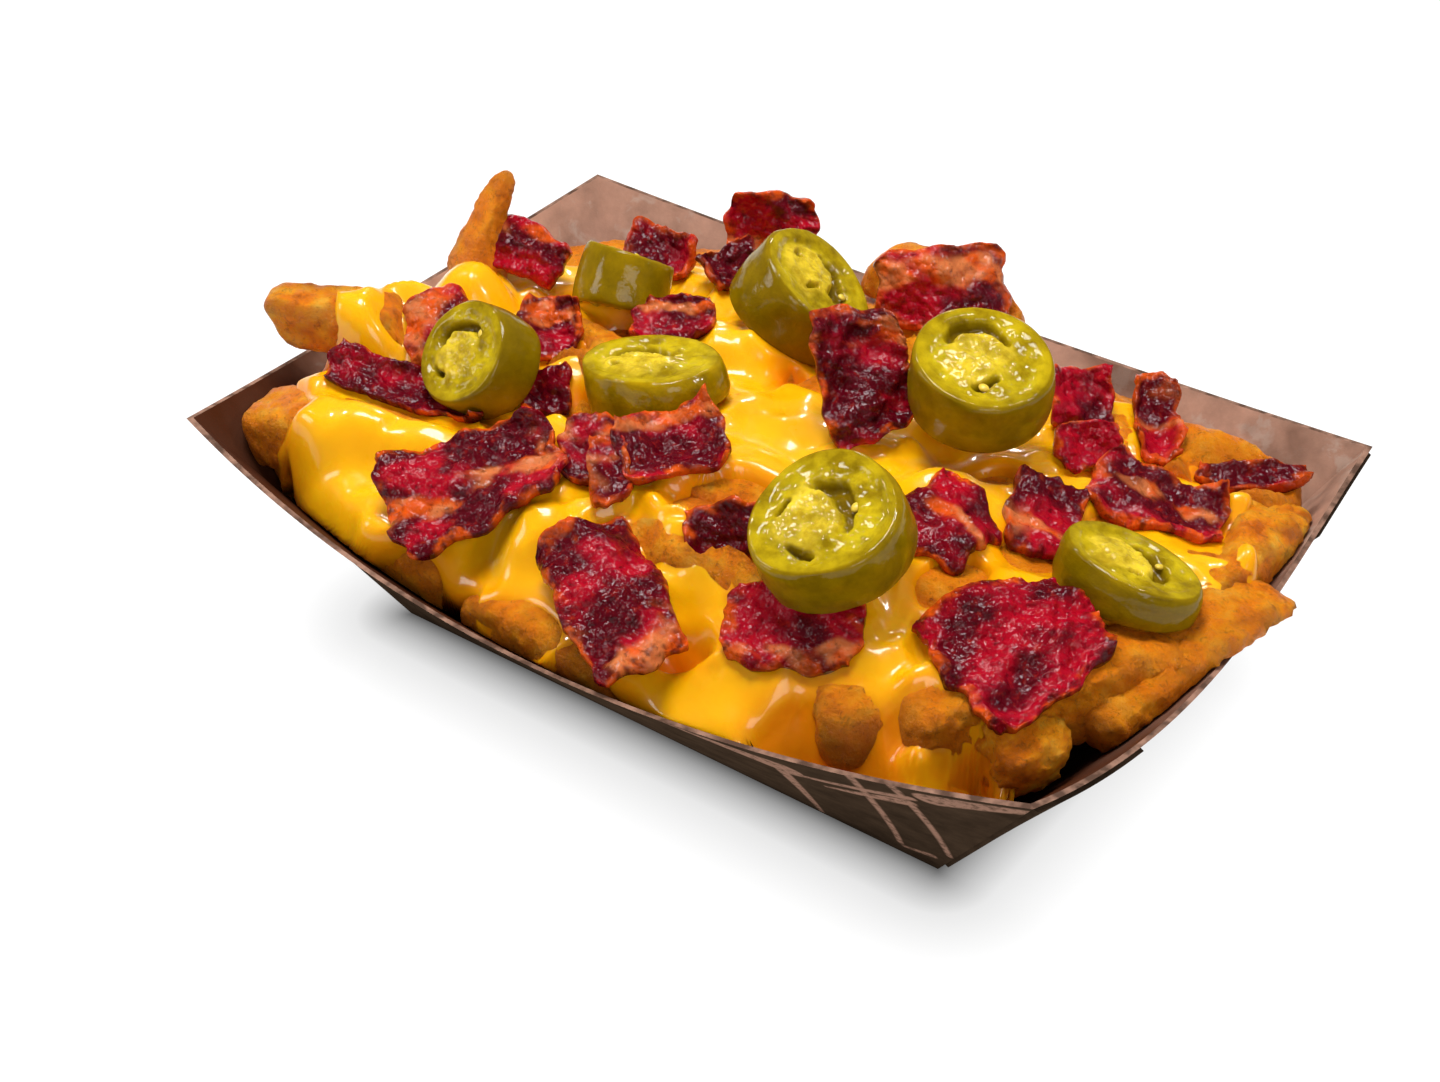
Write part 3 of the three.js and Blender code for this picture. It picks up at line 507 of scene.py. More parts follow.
LONG_POINTS, END_POINTS, WALL_LEVELS = 60, 40, 22
WEB_ROWS, WEB_COLUMNS = 14, 10
# The board's finishes, by their place in the tray's list, and its sharpest smooth bend
INSIDE, LONG_SIDE, END_SIDE, CUT_EDGE = range(4)
FOLD_ANGLE, WELD_REACH = 30, 1e-6


def half_sizes(level):
    """Half the tray's length and width at a level from its base, 0, to its rim, 1."""
    return mix(BASE_LENGTH, RIM_LENGTH, level) / 2, mix(BASE_WIDTH, RIM_WIDTH, level) / 2


def hump(along, rim):
    """A side's curve: 1 in its middle and 0 at both corners, leaning to one end."""
    return (1 - along * along) * (1 - rim[2] * along)


def wall_ring(level, inset, lift):
    """One ring of points round the tray, counter-clockwise from above."""
    half_x, half_y = (half - inset for half in half_sizes(level))
    sides = []
    for rim, steps, direction, is_long, sign in (
        (FRONT_RIM, LONG_POINTS, 1, True, -1), (RIGHT_RIM, END_POINTS, 1, False, 1),
        (BACK_RIM, LONG_POINTS, -1, True, 1), (LEFT_RIM, END_POINTS, -1, False, -1),
    ):
        along = direction * (2 * np.arange(steps) / steps - 1)
        swell = hump(along, rim) * level
        out = rim[0] * swell
        x = along * half_x if is_long else sign * (half_x + out)
        y = sign * (half_y + out) if is_long else along * half_y
        z = level * TRAY_HEIGHT - rim[1] * swell + lift
        sides.append(np.stack([x + 0 * along, y + 0 * along, z], axis=-1))
    return np.concatenate(sides)


def wall_room(points, keep, above=0.0):
    """Moves points that lie in or outside the tray's walls back inside them by keep.

    Points up to the distance above over the rim are moved too."""
    moved = points.copy()
    for axis, other, rims, base, rim_size, base_other, rim_other in (
        (1, 0, (BACK_RIM, FRONT_RIM), BASE_WIDTH, RIM_WIDTH, BASE_LENGTH, RIM_LENGTH),
        (0, 1, (RIGHT_RIM, LEFT_RIM), BASE_LENGTH, RIM_LENGTH, BASE_WIDTH, RIM_WIDTH),
    ):
        for sign, rim in zip((1, -1), rims):
            rough = np.clip(moved[:, 2] / TRAY_HEIGHT, 0, 1)
            half_other = mix(base_other, rim_other, rough) / 2
            along = np.clip(moved[:, other] / half_other, -1, 1)
            arch = hump(along, rim)
            rim_level = TRAY_HEIGHT - rim[1] * arch
            level = np.clip(moved[:, 2] / rim_level, 0, 1)
            limit = mix(base, rim_size, level) / 2 + rim[0] * arch * level - keep
            over = (sign * moved[:, axis] > limit) & (moved[:, 2] < rim_level + above)
            moved[over, axis] = sign * limit[over]
    return moved


def corner_web(sign_x, sign_y):
    """The glued web on the outside of an end wall, as a thin closed sheet."""
    rim = RIGHT_RIM if sign_x > 0 else LEFT_RIM
    level, across = np.meshgrid(
        np.linspace(WEB_LOW, WEB_HIGH, WEB_ROWS), np.linspace(0, 1, WEB_COLUMNS), indexing="ij")
    away = mix(WEB_INSET, WEB_REACH * level, across)
    half_x, half_y = half_sizes(level)
    along = sign_y * (1 - away / half_y)
    swell = hump(along, rim) * level
    faces = []
    for out in (WEB_THICKNESS, -WEB_BITE):
        x = sign_x * (half_x + rim[0] * swell + out)
        z = level * TRAY_HEIGHT - rim[1] * swell - out * WEB_SLOPE
        faces.append(np.stack([x, along * half_y, z], axis=-1).reshape(-1, 3))
    return close_sheet(np.concatenate(faces), WEB_ROWS, WEB_COLUMNS, sign_x * sign_y < 0)


def close_sheet(points, rows, columns, flip):
    """The points and faces of a closed sheet between an upper and a lower grid of points."""
    upper = grid_faces(rows, columns, False)
    lower = grid_faces(rows, columns, False, rows * columns)[:, ::-1]
    index = np.arange(rows * columns).reshape(rows, columns)
    loop = np.concatenate([index[0, :-1], index[:-1, -1], index[-1, :0:-1], index[:0:-1, 0]])
    after = np.roll(loop, -1)
    rim = np.stack([loop, loop + rows * columns, after + rows * columns, after], axis=-1)
    faces = [upper, lower, rim]
    if flip:
        faces = [f[:, ::-1] for f in faces]
    return points, faces


def build_tray(settings):
    """The folded board with its glued corners."""
    board = settings.board / MM
    levels = np.linspace(0, 1, WALL_LEVELS)
    outer = [wall_ring(level, 0, 0) for level in levels]
    inner = [wall_ring(level, board, board * (1 - level)) for level in levels[::-1]]
    count = len(outer[0])
    around = np.arange(count)
    side_of = np.repeat([0, 1, 0, 1], [LONG_POINTS, END_POINTS, LONG_POINTS, END_POINTS])
    outside = np.concatenate([*outer, [(0, 0, 0)]])
    walls = grid_faces(WALL_LEVELS, count, True)
    is_end = side_of[walls[:, 0] % count] == 1
    underside = fan_faces(len(outside) - 1, around, True)
    body = Body()
    body.add(outside, [walls[~is_end], underside], finish=LONG_SIDE)
    body.add(outside, [walls[is_end]], finish=END_SIDE)
    body.add(np.concatenate([outer[-1], inner[0]]), [grid_faces(2, count, True)], finish=CUT_EDGE)
    inside = np.concatenate([*inner, [(0, 0, board)]])
    floor = fan_faces(len(inside) - 1, len(inside) - 1 - count + around)
    body.add(inside, [walls, floor], finish=INSIDE)
    for sign_x in (-1, 1):
        for sign_y in (-1, 1):
            body.add(*corner_web(sign_x, sign_y), finish=END_SIDE)
    tray = body.build("tray", [
        kraft_inside(settings), printed_outside(settings, True),
        printed_outside(settings, False), cut_edge(settings),
    ])
    crease(tray.data)
    settle(tray, "kraft_board", "paper_tray")


def crease(mesh):
    """Joins points that lie on each other and shades the folds sharp."""
    work = bmesh.new()
    work.from_mesh(mesh)
    bmesh.ops.remove_doubles(work, verts=work.verts, dist=WELD_REACH)
    work.to_mesh(mesh)
    work.free()
    mesh.set_sharp_from_angle(angle=math.radians(FOLD_ANGLE))


def kraft_inside(settings):
    """Brown board with darker grease spots, and painted shade that darkens it towards its front,
    where the food shades it.
    """
    finish = Finish("kraft board inside")
    kraft = settings.kraft
    fibres = finish.noise(9, 5, 0.62)
    tone = finish.ramp(fibres, (0.3, toned(kraft, 0.72)), (0.7, toned(kraft, 1.25)))
    spots = finish.ramp(finish.noise(7, 4, 0.6, 0.4), (0.56, 0.0), (0.64, 1.0))
    tone = finish.blend(spots, tone, (0.42, 0.32, 0.26), 0.5)
    grease = finish.ramp(finish.noise(22, 3, 0.5), (0.5, 0.0), (0.62, 1.0))
    tone = finish.blend(grease, tone, (0.07, 0.032, 0.02), 0.55)
    # Painted shade: the inside darkens towards its front
    front = finish.fade(finish.axis("Y"), *SOAKED_FROM_Y)
    tone = finish.blend(front, tone, (0.05, 0.01, 0.001), 0.95)
    finish.shade(Base_Color=tone, Roughness=finish.ramp(grease, (0.0, 0.75), (1.0, 0.42)),
                 Normal=finish.bump(finish.noise(1.2, 4, 0.7), 0.15, 0.5), Specular_IOR_Level=0.08)
    return finish.material


def printed_outside(settings, is_long):
    """Charcoal print with thin slanted lines left in bare board on the shown side."""
    finish = Finish("printed board " + ("long side" if is_long else "end"))
    mottle = finish.noise(6, 5, 0.65)
    ink = finish.ramp(mottle, (0.3, toned(settings.ink, 0.7)), (0.75, toned(settings.ink, 1.4)))
    if is_long:
        x, z = finish.axis("X"), finish.axis("Z")
        marks = 0.0
        for start, end, half_widths in PRINT_LINES:
            marks = finish.calc("MAXIMUM", marks, finish.stroke(x, z, start, end, half_widths))
        front = finish.fade(finish.axis("Y"), 0.5, -0.5)
        scuffed = finish.ramp(finish.noise(1.6, 4, 0.7), (0.36, 0.25), (0.52, 1.0))
        marks = finish.calc("MULTIPLY", finish.calc("MULTIPLY", marks, front), scuffed)
        ink = finish.blend(marks, ink, toned(settings.kraft, 0.8))
    finish.shade(Base_Color=ink, Roughness=0.6, Specular_IOR_Level=0.0,
                 Normal=finish.bump(finish.noise(2.0, 4, 0.7), 0.12, 0.5))
    return finish.material


def cut_edge(settings):
    """The worn cut edge of the board."""
    finish = Finish("board cut edge")
    tone = finish.ramp(finish.noise(3, 3), (0.38, toned(settings.kraft, 0.25)),
                       (0.66, toned(settings.kraft, 0.85)))
    finish.shade(Base_Color=tone, Roughness=0.8, Specular_IOR_Level=0.0)
    return finish.material


# The heap of fries

# Points round and along a fry that shows clearly, a loose one and one that the sauce hides
SHOWN_GRID, LOOSE_GRID, BURIED_GRID = (44, 84), (28, 46), (16, 24)
# How far from its end a fry starts to round off, and how much of its section that takes
FRY_CAP, FRY_CAP_LOSS = 8.0, 0.84
# How far the cut ends lean, the same for the jutting fry's two ends, and the upright fry's taper
CUT_LEAN, JUTTING_LEANS, UPRIGHT_TAPER = 0.3, (-0.9, 0.2), (0.95, 0.45)
# Chips that look up by less than this stand on an edge, and the others clear what they lie on
STEEP_CHIP, CHIP_CLEAR = 0.45, 0.5
# How far fries reach into the toppings that lie on them
FRY_SINK = 0.6
# How far inside a topping's outline the sauce starts to let go of it
LIFT_FADE = -3.0
# Room that fries, the packed inside, the sauce, its sides and chips keep from the walls' outside
FRY_ROOM, CORE_ROOM, SAUCE_ROOM, SKIRT_ROOM, CHIP_ROOM = 1.3, 2.5, 1.4, 1.6, 1.35
# The packed inside: its grid, its gap to the walls, its foot and how far it lies under its top
CORE_ROWS, CORE_COLUMNS, CORE_GAP, CORE_FOOT, CORE_SINK = 24, 34, 3, 2.0, 1.5
# The share by which each fry's tint steps on from the last one's
TINT_STEP = 0.381966
# Batter: how high and how large its swellings, its cracks and its crumbs are
SWELL, CRACK, CRUMB = (0.7, 11.0), (0.4, 4.6), (0.38, 2.2)
# How brown a fry is all over, in patches, on its ends and on its corners, and how much painted
# shade darkens it low in the tray
TOAST, TOAST_PATCH, TOAST_END, TOAST_CORNER, TOAST_LOW = 0.35, 0.6, 0.4, 0.6, 0.6
# Heights between which painted shade darkens fries towards the tray's floor, and the upright fry
# browns to its tip
LOW_BROWN, TIP_BROWN = (42, 30), (66, 73)


def mound_top(x, y):
    """Height of the mound's upper surface."""
    end = MOUND_END_FALL * np.abs(x / MOUND_REACH_X) ** MOUND_END_POWER
    steeper = 1 + MOUND_BACK_FALL * np.abs(x / MOUND_REACH_X) * (np.asarray(y) > 0)
    side = steeper * MOUND_SIDE_FALL * np.abs(y / MOUND_REACH_Y) ** MOUND_SIDE_POWER
    return MOUND_TOP - end - side


def core_top(x, y):
    """Height of the heap's packed inside, lower in the tray's empty corners."""
    half_x, half_y = half_sizes(CORE_LEVEL)
    corner = np.hypot(half_x - np.abs(x), half_y - np.abs(y))
    return np.minimum(mound_top(x, y) - CORE_DEPTH, CORE_CORNER_LEVEL + corner * CORE_CORNER_RISE)


def room_to_wall(x, y, z):
    """Level distance to the nearest wall, with the corners drawn in."""
    level = min(1.0, z / (TRAY_HEIGHT - FRONT_RIM[1]))
    half_x, half_y = half_sizes(level)
    across = min(half_x - abs(x), half_y - abs(y))
    corner = math.hypot(max(0, half_x - abs(x)), max(0, half_y - abs(y)))
    return min(across, corner - SCATTER_CORNER)


def sauce_reach(angle):
    """Reach of the sauce from its centre, between the reaches named round it."""
    place = (np.asarray(angle) / (2 * math.pi) * len(SAUCE_REACH)) % len(SAUCE_REACH)
    low = np.floor(place).astype(int) % len(SAUCE_REACH)
    reach = np.array(SAUCE_REACH, float)
    return mix(reach[low], reach[(low + 1) % len(SAUCE_REACH)], place - np.floor(place))


def scattered_fries():
    """Fries in rows over the mound, shortened at either end until they clear the walls."""
    draws = seeded_draws(SCATTER_SEED)
    fries = []
    for row in range(SCATTER_ROWS):
        for column in range(SCATTER_COLUMNS):
            shift = (row % 2 - 0.5) * SCATTER_STAGGER
            along_x = column - (SCATTER_COLUMNS - 1) / 2 + shift
            x = along_x * SCATTER_PITCH_X + SCATTER_JITTER_X * (next(draws) - 0.5)
            y = (row - (SCATTER_ROWS - 1) / 2) * SCATTER_PITCH_Y
            y += SCATTER_JITTER_Y * (next(draws) - 0.5)
            turn = math.radians(180 * next(draws))
            half = mix(*FRY_LENGTH, next(draws)) / 2
            width = mix(*FRY_WIDTH, next(draws))
            height = mix(*FRY_HEIGHT, next(draws))
            sink = mix(*SCATTER_SINK, next(draws))
            ends = []
            for sign in (-1, 1):
                reach = half
                while reach > SCATTER_STEP:
                    ex = x + sign * reach * math.cos(turn)
                    ey = y + sign * reach * math.sin(turn)
                    ez = float(mix(mound_top(ex, ey), mound_top(x, y), SCATTER_LEVEL) - sink)
                    if room_to_wall(ex, ey, ez - height / 2) > width * SCATTER_WALL_SHARE:
                        ends.append((ex, ey, ez))
                        break
                    reach -= SCATTER_STEP
            if len(ends) == 2 and math.dist(*ends) > SCATTER_SHORTEST:
                away = math.hypot(x - SAUCE_CENTRE[0], y - SAUCE_CENTRE[1])
                angle = math.atan2(y - SAUCE_CENTRE[1], x - SAUCE_CENTRE[0])
                buried = away / float(sauce_reach(angle)) < SCATTER_BURIED
                fries.append((*ends, width, height, 1.0, buried))
    return fries


def all_fries():
    """Every fry of the heap, the clearly shown ones first."""
    return [(*fry, False) for fry in SHOWN_FRIES] + scattered_fries()


def fry_bar(fry, number):
    """The uneven battered bar of one fry: its points, its faces and how brown each point is."""
    start, finish, width, height, bumpy, buried = fry
    start, finish = np.array(start, float), np.array(finish, float)
    around, lengths = BURIED_GRID if buried else LOOSE_GRID
    if number < len(SHOWN_FRIES):
        around, lengths = SHOWN_GRID
    reach = np.linalg.norm(finish - start)
    lengthwise = (finish - start) / reach
    sideways = np.cross((0, 0, 1), lengthwise)
    sideways /= np.linalg.norm(sideways)
    upward = np.cross(lengthwise, sideways)
    along = np.sin(np.linspace(-0.5, 0.5, lengths) * math.pi)
    along = mix(np.linspace(-1, 1, lengths), along, 0.5)
    t, a = np.meshgrid(along, turns_round(around), indexing="ij")
    cap = np.clip((np.abs(t) - 1 + FRY_CAP / reach) / (FRY_CAP / reach), 0, 1)
    blunt = mix(1.0, FRY_TAPER, t * t) * np.sqrt(1 - FRY_CAP_LOSS * cap ** 3)
    lean = np.sin(7.3 * number + 2.0 * np.sign(t)) * CUT_LEAN
    if number == UPRIGHT_FRY:
        blunt = blunt * mix(*UPRIGHT_TAPER, smooth_step(0.3, -1.0, t))
    if number == JUTTING_FRY:
        lean = np.where(t < 0, *JUTTING_LEANS)
    square = np.abs(np.cos(a)) ** FRY_CORNER + np.abs(np.sin(a)) ** FRY_CORNER
    square = square ** (-1 / FRY_CORNER)
    wide = square * np.cos(a) * width / 2 * blunt
    tall = square * np.sin(a) * height / 2 * blunt
    rise = FRY_BEND * (FRY_RISE - t * t)
    slant = lean * tall * np.abs(t) ** 5
    centre = (start + finish) / 2 + (t * reach / 2 + slant)[..., None] * lengthwise
    out = wide[..., None] * sideways + tall[..., None] * upward
    points = (centre + out + rise[..., None] * upward).reshape(-1, 3)
    out = out.reshape(-1, 3)
    outward = out / np.linalg.norm(out, axis=1)[:, None]
    points = points + outward * batter_lumps(points, bumpy, number)[:, None]
    last = len(points)
    faces = [
        grid_faces(lengths, around, True),
        fan_faces(last, np.arange(around), True),
        fan_faces(last + 1, np.arange(last - around, last)),
    ]
    ends = points[:around].mean(axis=0), points[-around:].mean(axis=0)
    points = np.concatenate([points, ends])
    return points, faces, browning(points, t.ravel(), a.ravel(), number)


def batter_lumps(points, bumpy, number):
    """How far the batter stands out at each point of a fry."""
    rough = SWELL[0] * grain(points, SWELL[1], 5 + number, 2)
    rough += CRACK[0] * bumpy * (0.35 - np.abs(grain(points, CRACK[1], 60 + number, 2)))
    rough += CRUMB[0] * bumpy * grain(points, CRUMB[1], 160 + number, 2)
    if number == ROUGH_FRY:
        rough += 1.3 * (0.3 - np.abs(lumps(points, 5.2, 9))) + 0.7 * lumps(points, 2.6, 10)
        rough += 0.6 * (0.3 - np.abs(lumps(points, 1.7, 12)))
    return rough


def browning(points, t, a, number):
    """How brown a fry is: patchy and darker on its ends and its crisp corners, with painted shade
    low in the tray.
    """
    tip = np.concatenate([np.abs(t) ** 6, [1, 1]])
    toast = TOAST + TOAST_PATCH * grain(points, 9, 71 + number, 2) + TOAST_END * tip
    toast = np.clip(toast, 0, 1)
    patches = smooth_step(-0.2, 0.3, grain(points[:-2], 6, 81 + number, 2))
    toast[:-2] += TOAST_CORNER * (smooth_step(0.75, 1.0, np.abs(np.sin(2 * a))) * patches)
    # Painted shade: fries darken towards the tray's floor
    low = smooth_step(*LOW_BROWN, points[:, 2])
    toast = np.clip(0.2 * toast if number == ROUGH_FRY else toast + TOAST_LOW * low, 0, 1)
    if number == UPRIGHT_FRY:
        toast = np.clip(toast + smooth_step(*TIP_BROWN, points[:, 2]), 0, 1)
    return toast


def press_under_toppings(points, sink, ease=3.5, lift=0.0):
    """Lowers points so that they stay under the chips and slices that lie on them.

    Points up to the distance lift below a topping are raised to meet it."""
    pressed = points.copy()
    for centre, look, radius, thick, slant, oval, *_ in SLICES:
        under = np.array(centre, float) - slice_look(look) * (thick / 2 - sink)
        fit_to_footprint(pressed, under, slice_turn(look), (radius, radius * oval), ease, lift)
    for number, chip in enumerate(CHIPS):
        turn = chip_turn(chip[2])
        if turn[2, 2] > STEEP_CHIP:
            depth = BACON_THICKNESS / 2 - sink + CHIP_CLEAR
            under = np.array(chip[0], float) - turn[:, 2] * depth
            half = (chip[1][0] / 2, chip[1][1] / 2)
            fit_to_footprint(pressed, under, turn, half, ease, lift, number)
    return pressed


def fit_to_footprint(points, under, turn, half, ease, lift, chip_number=None):
    """Fits points to one tilted footprint, eased to nothing outside it."""
    near = np.hypot(points[:, 0] - under[0], points[:, 1] - under[1]) < math.hypot(*half) + ease
    some = points[near]
    normal = turn[:, 2]
    level = under[2] - ((some[:, 0] - under[0]) * normal[0]
                        + (some[:, 1] - under[1]) * normal[1]) / normal[2]
    local = (np.stack([some[:, 0], some[:, 1], level], axis=-1) - under) @ turn
    u, v = local[:, 0] / half[0], local[:, 1] / half[1]
    if chip_number is None:
        beyond = (np.hypot(u, v) - 1) * half[0]
    else:
        v = v / mix(1.0, CHIPS[chip_number][5], (np.clip(u, -1, 1) + 1) / 2)
        beyond = np.maximum((np.abs(u) - 1) * half[0], (np.abs(v) - 1) * half[1])
        bend = chip_bend(chip_number, np.clip(u, -1, 1), np.clip(v, -1, 1))
        level = level + bend / normal[2]
    change = -((1 - smooth_step(0.0, ease, beyond)) * np.maximum(some[:, 2] - level, 0))
    if lift:
        gap = level - some[:, 2]
        short = np.clip(gap, 0, lift) * smooth_step(2.5 * lift, lift, gap)
        change = (1 - smooth_step(LIFT_FADE, ease, beyond)) * short + change
    points[near, 2] += change


def build_fries(settings):
    """The heap: every fry on a packed dark inside."""
    body = Body()
    for number, fry in enumerate(all_fries()):
        points, faces, toast = fry_bar(fry, number)
        if number != UPRIGHT_FRY:
            points = press_under_toppings(points, FRY_SINK)
        body.add(wall_room(points, FRY_ROOM), faces, toast=toast, tint=(number * TINT_STEP) % 1.0)
    body.add(*packed_core(), finish=1, toast=0.5, tint=0.5)
    heap = body.build("fries", [batter(settings), packed_inside()])
    settle(heap, "fried_potato", "fries_heap")


def packed_core():
    """The heap's inside: a closed form from the tray's floor up to the fries."""
    v, u = np.meshgrid(
        np.linspace(-1, 1, CORE_ROWS), np.linspace(-1, 1, CORE_COLUMNS), indexing="ij")
    u, v = u.ravel(), v.ravel()
    half_x, half_y = half_sizes(CORE_LEVEL)
    x, y = u * (half_x - CORE_GAP), v * (half_y - CORE_GAP)
    top = np.stack([x, y, core_top(x, y) - CORE_SINK], axis=-1)
    x, y = u * (BASE_LENGTH / 2 - CORE_GAP), v * (BASE_WIDTH / 2 - CORE_GAP)
    low = np.stack([x, y, CORE_FOOT + 0 * u], axis=-1)
    return close_sheet(
        wall_room(np.concatenate([top, low]), CORE_ROOM), CORE_ROWS, CORE_COLUMNS, False)


def batter(settings):
    """Crisp orange-gold batter with browner ends, dark specks and painted shade low in the tray."""
    finish = Finish("fry batter")
    gold = tuple(settings.gold)
    patchy = finish.noise(5, 5, 0.62)
    tone = finish.ramp(
        patchy, (0.3, (0.6, 0.12, 0.002)), (0.43, gold), (0.56, (1.0, 0.36, 0.006)),
        (0.7, (1.0, 0.52, 0.05)))
    # This value browns the crisp ends and also lays painted shade on fries low in the tray
    brown = finish.ramp(finish.value("toast"), (0.35, 0.0), (1.0, 1.0))
    tone = finish.blend(brown, tone, tuple(settings.brown), 0.6)
    tone = finish.blend(finish.value("tint"), tone, (1.0, 0.27, 0.004), 0.5)
    specks = finish.ramp(finish.noise(1.7, 6, 0.8, 0.6), (0.54, 0.0), (0.66, 1.0))
    tone = finish.blend(specks, tone, (0.25, 0.04, 0.002), 0.6)
    crumbs = finish.bump(finish.noise(1.1, 6, 0.8), 1.1, 1.0)
    finish.shade(Base_Color=tone, Roughness=finish.ramp(patchy, (0.3, 0.3), (0.7, 0.5)),
                 Normal=finish.bump(finish.noise(2.6, 5, 0.7), 0.9, 0.8, crumbs))
    finish.shade(Specular_IOR_Level=0.14, Coat_Weight=0.15, Coat_Roughness=0.16, Coat_Normal=crumbs)
    return finish.material


def packed_inside():
    """Painted shade: a dark brown that stands for the shaded fries deep inside the heap."""
    finish = Finish("packed inside")
    tone = finish.ramp(finish.noise(8, 4), (0.35, (0.04, 0.009, 0.002)), (0.65, (0.2, 0.05, 0.006)))
    finish.shade(Base_Color=tone, Roughness=0.6)
    return finish.material


# The cheese sauce

MAP_STEP, MAP_X, MAP_Y = 1.0, 106.0, 80.0
# How often the heap's map is smoothed: under the sauce, for its crevices, for its broad form and
# for the drapes, which also span gaps this wide
SMOOTH_TIMES, SHARP_TIMES, BROAD_TIMES, DRAPE_TIMES, DRAPE_SPAN = 5, 2, 60, 4, 3
# How flat a fry's top is across it in the map
FRY_ROUND = 3.2
SAUCE_RINGS, SAUCE_TURNS, SAUCE_HOLE, SAUCE_CROWD = 104, 620, 0.012, 1.25
# The lobes of its edge: depth, number and shift
SAUCE_LOBES = ((0.05, 7, 0), (0.04, 11, 1), (0.018, 29, 2))
# How far its edge wanders at a bare patch, how it tucks under and how far it sinks between fries
SAUCE_WANDER, SAUCE_TUCK, SAUCE_DEEPEST, SAUCE_SINK = 2.2, 1.6, -2.6, 1.2
# How far it reaches into toppings, how softly it meets them and how far it rises to them
TOPPING_SINK, TOPPING_EASE, TOPPING_LIFT, OVER_RIM = 0.9, 8.0, 1.5, 5.0
# How it eases over a drape, how fast it closes beside a crevice, and its ripples' height and size
DRAPE_EASE, CREVICE_SLOPE, RIPPLE, FINE_RIPPLE = (1.5, 0.8), 2.0, (1.5, 12), (0.7, 6)
# How many beads wide its thin edge looks, and the heights under and over its broad form between
# which it goes from painted shade, deep orange, to painted light, pale yellow
THIN_BEADS, RIDGE_RANGE = 2.2, (-7.0, 5.0)
# Its sides' drop and lowest level, and the shares of its reach where its underside has rings
SKIRT_DROP, SKIRT_LOWEST, UNDER_RINGS = 7, 24, (0.75, 0.4)


def heap_map():
    """Height of the heap's top over a level grid, spread over gaps and smoothed."""
    xs = np.arange(-MAP_X, MAP_X + MAP_STEP / 2, MAP_STEP)
    ys = np.arange(-MAP_Y, MAP_Y + MAP_STEP / 2, MAP_STEP)
    x, y = np.meshgrid(xs, ys)
    height = core_top(x, y)
    for number, fry in enumerate(all_fries()):
        if number == UPRIGHT_FRY:
            continue
        start, finish, wide, tall = np.array(fry[0]), np.array(fry[1]), fry[2], fry[3]
        reach = np.hypot(*(finish - start)[:2])
        along = (finish - start)[:2] / reach
        middle = (start + finish)[:2] / 2
        dx, dy = x - middle[0], y - middle[1]
        t = (dx * along[0] + dy * along[1]) / (reach / 2)
        across = np.abs(dy * along[0] - dx * along[1])
        blunt = mix(1.0, FRY_TAPER, np.clip(t * t, 0, 1))
        share = across / (wide / 2 * blunt)
        inside = (np.abs(t) < 1) & (share < 1)
        top = mix(start[2], finish[2], (t + 1) / 2) + FRY_BEND * (FRY_RISE - t * t)
        top = top + tall / 2 * blunt * (1 - np.clip(share, 0, 1) ** FRY_ROUND) ** (1 / FRY_ROUND)
        height = np.where(inside, np.maximum(height, top), height)
    full = dilated(height)
    spread = full
    for _ in range(DRAPE_SPAN):
        spread = dilated(spread)
    return (blurred(full, SMOOTH_TIMES), blurred(height, SHARP_TIMES),
            blurred(full, BROAD_TIMES), blurred(spread, DRAPE_TIMES))


def dilated(height):
    """A map with every height spread to its neighbours."""
    return np.maximum.reduce([
        height, np.roll(height, 1, 0), np.roll(height, -1, 0), np.roll(height, 1, 1),
        np.roll(height, -1, 1)])


def blurred(height, times):
    """A map smoothed a number of times."""
    for _ in range(times):
        for axis in (0, 1):
            before, after = np.roll(height, 1, axis), np.roll(height, -1, axis)
            height = 0.25 * before + 0.5 * height + 0.25 * after
    return height


def read_map(height, x, y):
    """Height of a map at places between its points."""
    column = np.clip((x + MAP_X) / MAP_STEP, 0, height.shape[1] - 1.001)
    row = np.clip((y + MAP_Y) / MAP_STEP, 0, height.shape[0] - 1.001)
    c, r = column.astype(int), row.astype(int)
    fc, fr = column - c, row - r
    upper = mix(height[r, c], height[r, c + 1], fc)
    lower = mix(height[r + 1, c], height[r + 1, c + 1], fc)
    return mix(upper, lower, fr)


def sauce_cover(x, y, share, reach):
    """How far inside the sauce's edge a place lies, in millimetres."""
    spots = np.stack([x, y, 0 * x], axis=-1)
    inside = (1 - share) * reach
    wander = SAUCE_WANDER * grain(spots, 13, 3, 2)
    for px, py, rx, ry, turn in BARE_PATCHES:
        c, s = math.cos(math.radians(turn)), math.sin(math.radians(turn))
        u = ((x - px) * c + (y - py) * s) / rx
        v = (-(x - px) * s + (y - py) * c) / ry
        inside = np.minimum(inside, (np.hypot(u, v) - 1) * min(rx, ry) + wander)
    return inside


